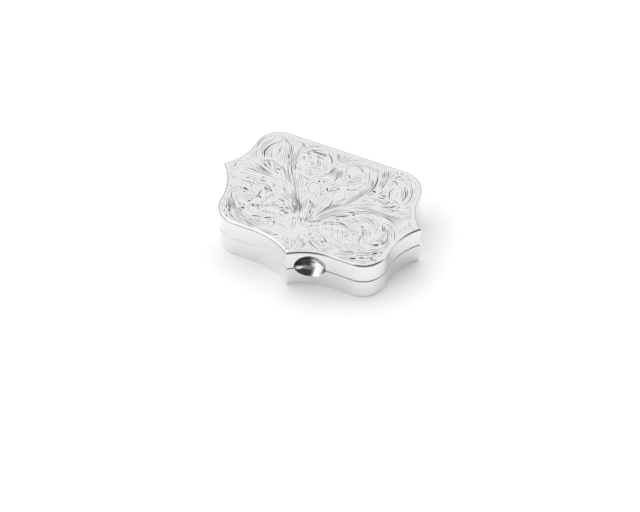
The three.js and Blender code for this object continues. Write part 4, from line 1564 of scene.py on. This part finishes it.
# %% Surroundings and light
DARK_SIDE = 46
FILL_SIDE = 150
SKY = 1.5
FILL = 0.22


def level_direction(degrees):
    """A level direction, measured from the front of the box towards its right."""
    turn = math.radians(degrees)
    return (math.sin(turn), -math.cos(turn), 0)


world = bpy.data.worlds.new("studio")
world.use_nodes = True
bpy.context.scene.world = world
tree = Tree(world.node_tree)
direction = tree.node("ShaderNodeTexCoord", output=0)
sideways = tree.node("ShaderNodeVectorMath", {"operation": "MULTIPLY"}, {0: direction, 1: (1, 1, 0)})
level_way = tree.node("ShaderNodeVectorMath", {"operation": "NORMALIZE"}, {0: sideways})
aim = level_direction(DARK_SIDE)
turned = tree.node("ShaderNodeVectorMath", {"operation": "DOT_PRODUCT"}, {0: level_way, 1: aim}, 1)
height = tree.node("ShaderNodeSeparateXYZ", {}, {0: direction}, 2)
around = tree.between(turned, math.cos(math.radians(68)), math.cos(math.radians(50)))
below = 1 - tree.between(height, 0.88, 0.98)
dark = around * below * (0.82 + tree.between(height, 0.5, 0.66) * 0.15)
low_band = 1 - tree.between(height, 0.05, 0.4)
far_right = level_direction(FILL_SIDE)
fill = tree.node("ShaderNodeVectorMath", {"operation": "DOT_PRODUCT"}, {0: level_way, 1: far_right}, 1)
fill = tree.between(fill, math.cos(math.radians(60)), 1.0) * (1 - tree.between(height, 0.4, 0.65))
behind = tree.between(turned * -1, math.cos(math.radians(100)), math.cos(math.radians(60)))
behind = behind * (1 - tree.between(height, 0.3, 0.6)) * 0.6
level = (1 - dark) * (1 - behind) * (1.0 - low_band * 0.25) * SKY + fill * FILL
sky = tree.node("ShaderNodeBackground", {}, {"Color": (1, 1, 1, 1), "Strength": level})
tree.node("ShaderNodeOutputWorld", {}, {"Surface": sky})

key_data = bpy.data.lights.new("key", "AREA")
key_data.shape = "RECTANGLE"
key_data.size = 1.0
key_data.size_y = 0.8
key_data.energy = 1.05
key = bpy.data.objects.new("key", key_data)
key.location = (-0.45, -0.15, 0.55)
key.rotation_euler = (Vector((0, 0, 0)) - key.location).to_track_quat("-Z", "Y").to_euler()
bpy.context.scene.collection.objects.link(key)

# %% [markdown]
# The camera looks down on the right flank of the front cusp with a long lens from half a metre away.

# %% Camera
VIEW_AZIMUTH = math.radians(22.936)
VIEW_HEIGHT = math.radians(49.618)
VIEW_ROLL = math.radians(-1.264)
VIEW_DISTANCE = 492.785
AIM_RIGHT = 0.5515
AIM_DOWN = 5.5039
LENS = 122.81

right = np.array([math.cos(VIEW_AZIMUTH), math.sin(VIEW_AZIMUTH), 0])
back = np.array([-math.sin(VIEW_AZIMUTH), math.cos(VIEW_AZIMUTH), 0])
top = np.array([0, 0, 1])
up = back * math.sin(VIEW_HEIGHT) + top * math.cos(VIEW_HEIGHT)
ahead = back * math.cos(VIEW_HEIGHT) - top * math.sin(VIEW_HEIGHT)
turned_right = right * math.cos(VIEW_ROLL) - up * math.sin(VIEW_ROLL)
turned_up = right * math.sin(VIEW_ROLL) + up * math.cos(VIEW_ROLL)
looked_at = np.array([0, -0.15, 0]) + AIM_RIGHT * turned_right - AIM_DOWN * turned_up
place = looked_at - VIEW_DISTANCE * ahead
lens = bpy.data.cameras.new("camera")
lens.lens = LENS
lens.sensor_width = 36.0
lens.clip_start = 0.01
lens.clip_end = 10.0
camera = bpy.data.objects.new("camera", lens)
axes = np.column_stack([turned_right, turned_up, -ahead])
camera.matrix_world = Matrix.Translation(Vector(place * MM)) @ Matrix(axes.tolist()).to_4x4()
bpy.context.scene.collection.objects.link(camera)
bpy.context.scene.camera = camera
bpy.context.scene.view_settings.view_transform = "Standard"
print("camera at, mm:", [round(v, 1) for v in place])

# %% [markdown]
# ## Last step
#
# The view layer is updated, so that every piece stands in its final place.

# %% Finish
bpy.context.view_layer.update()
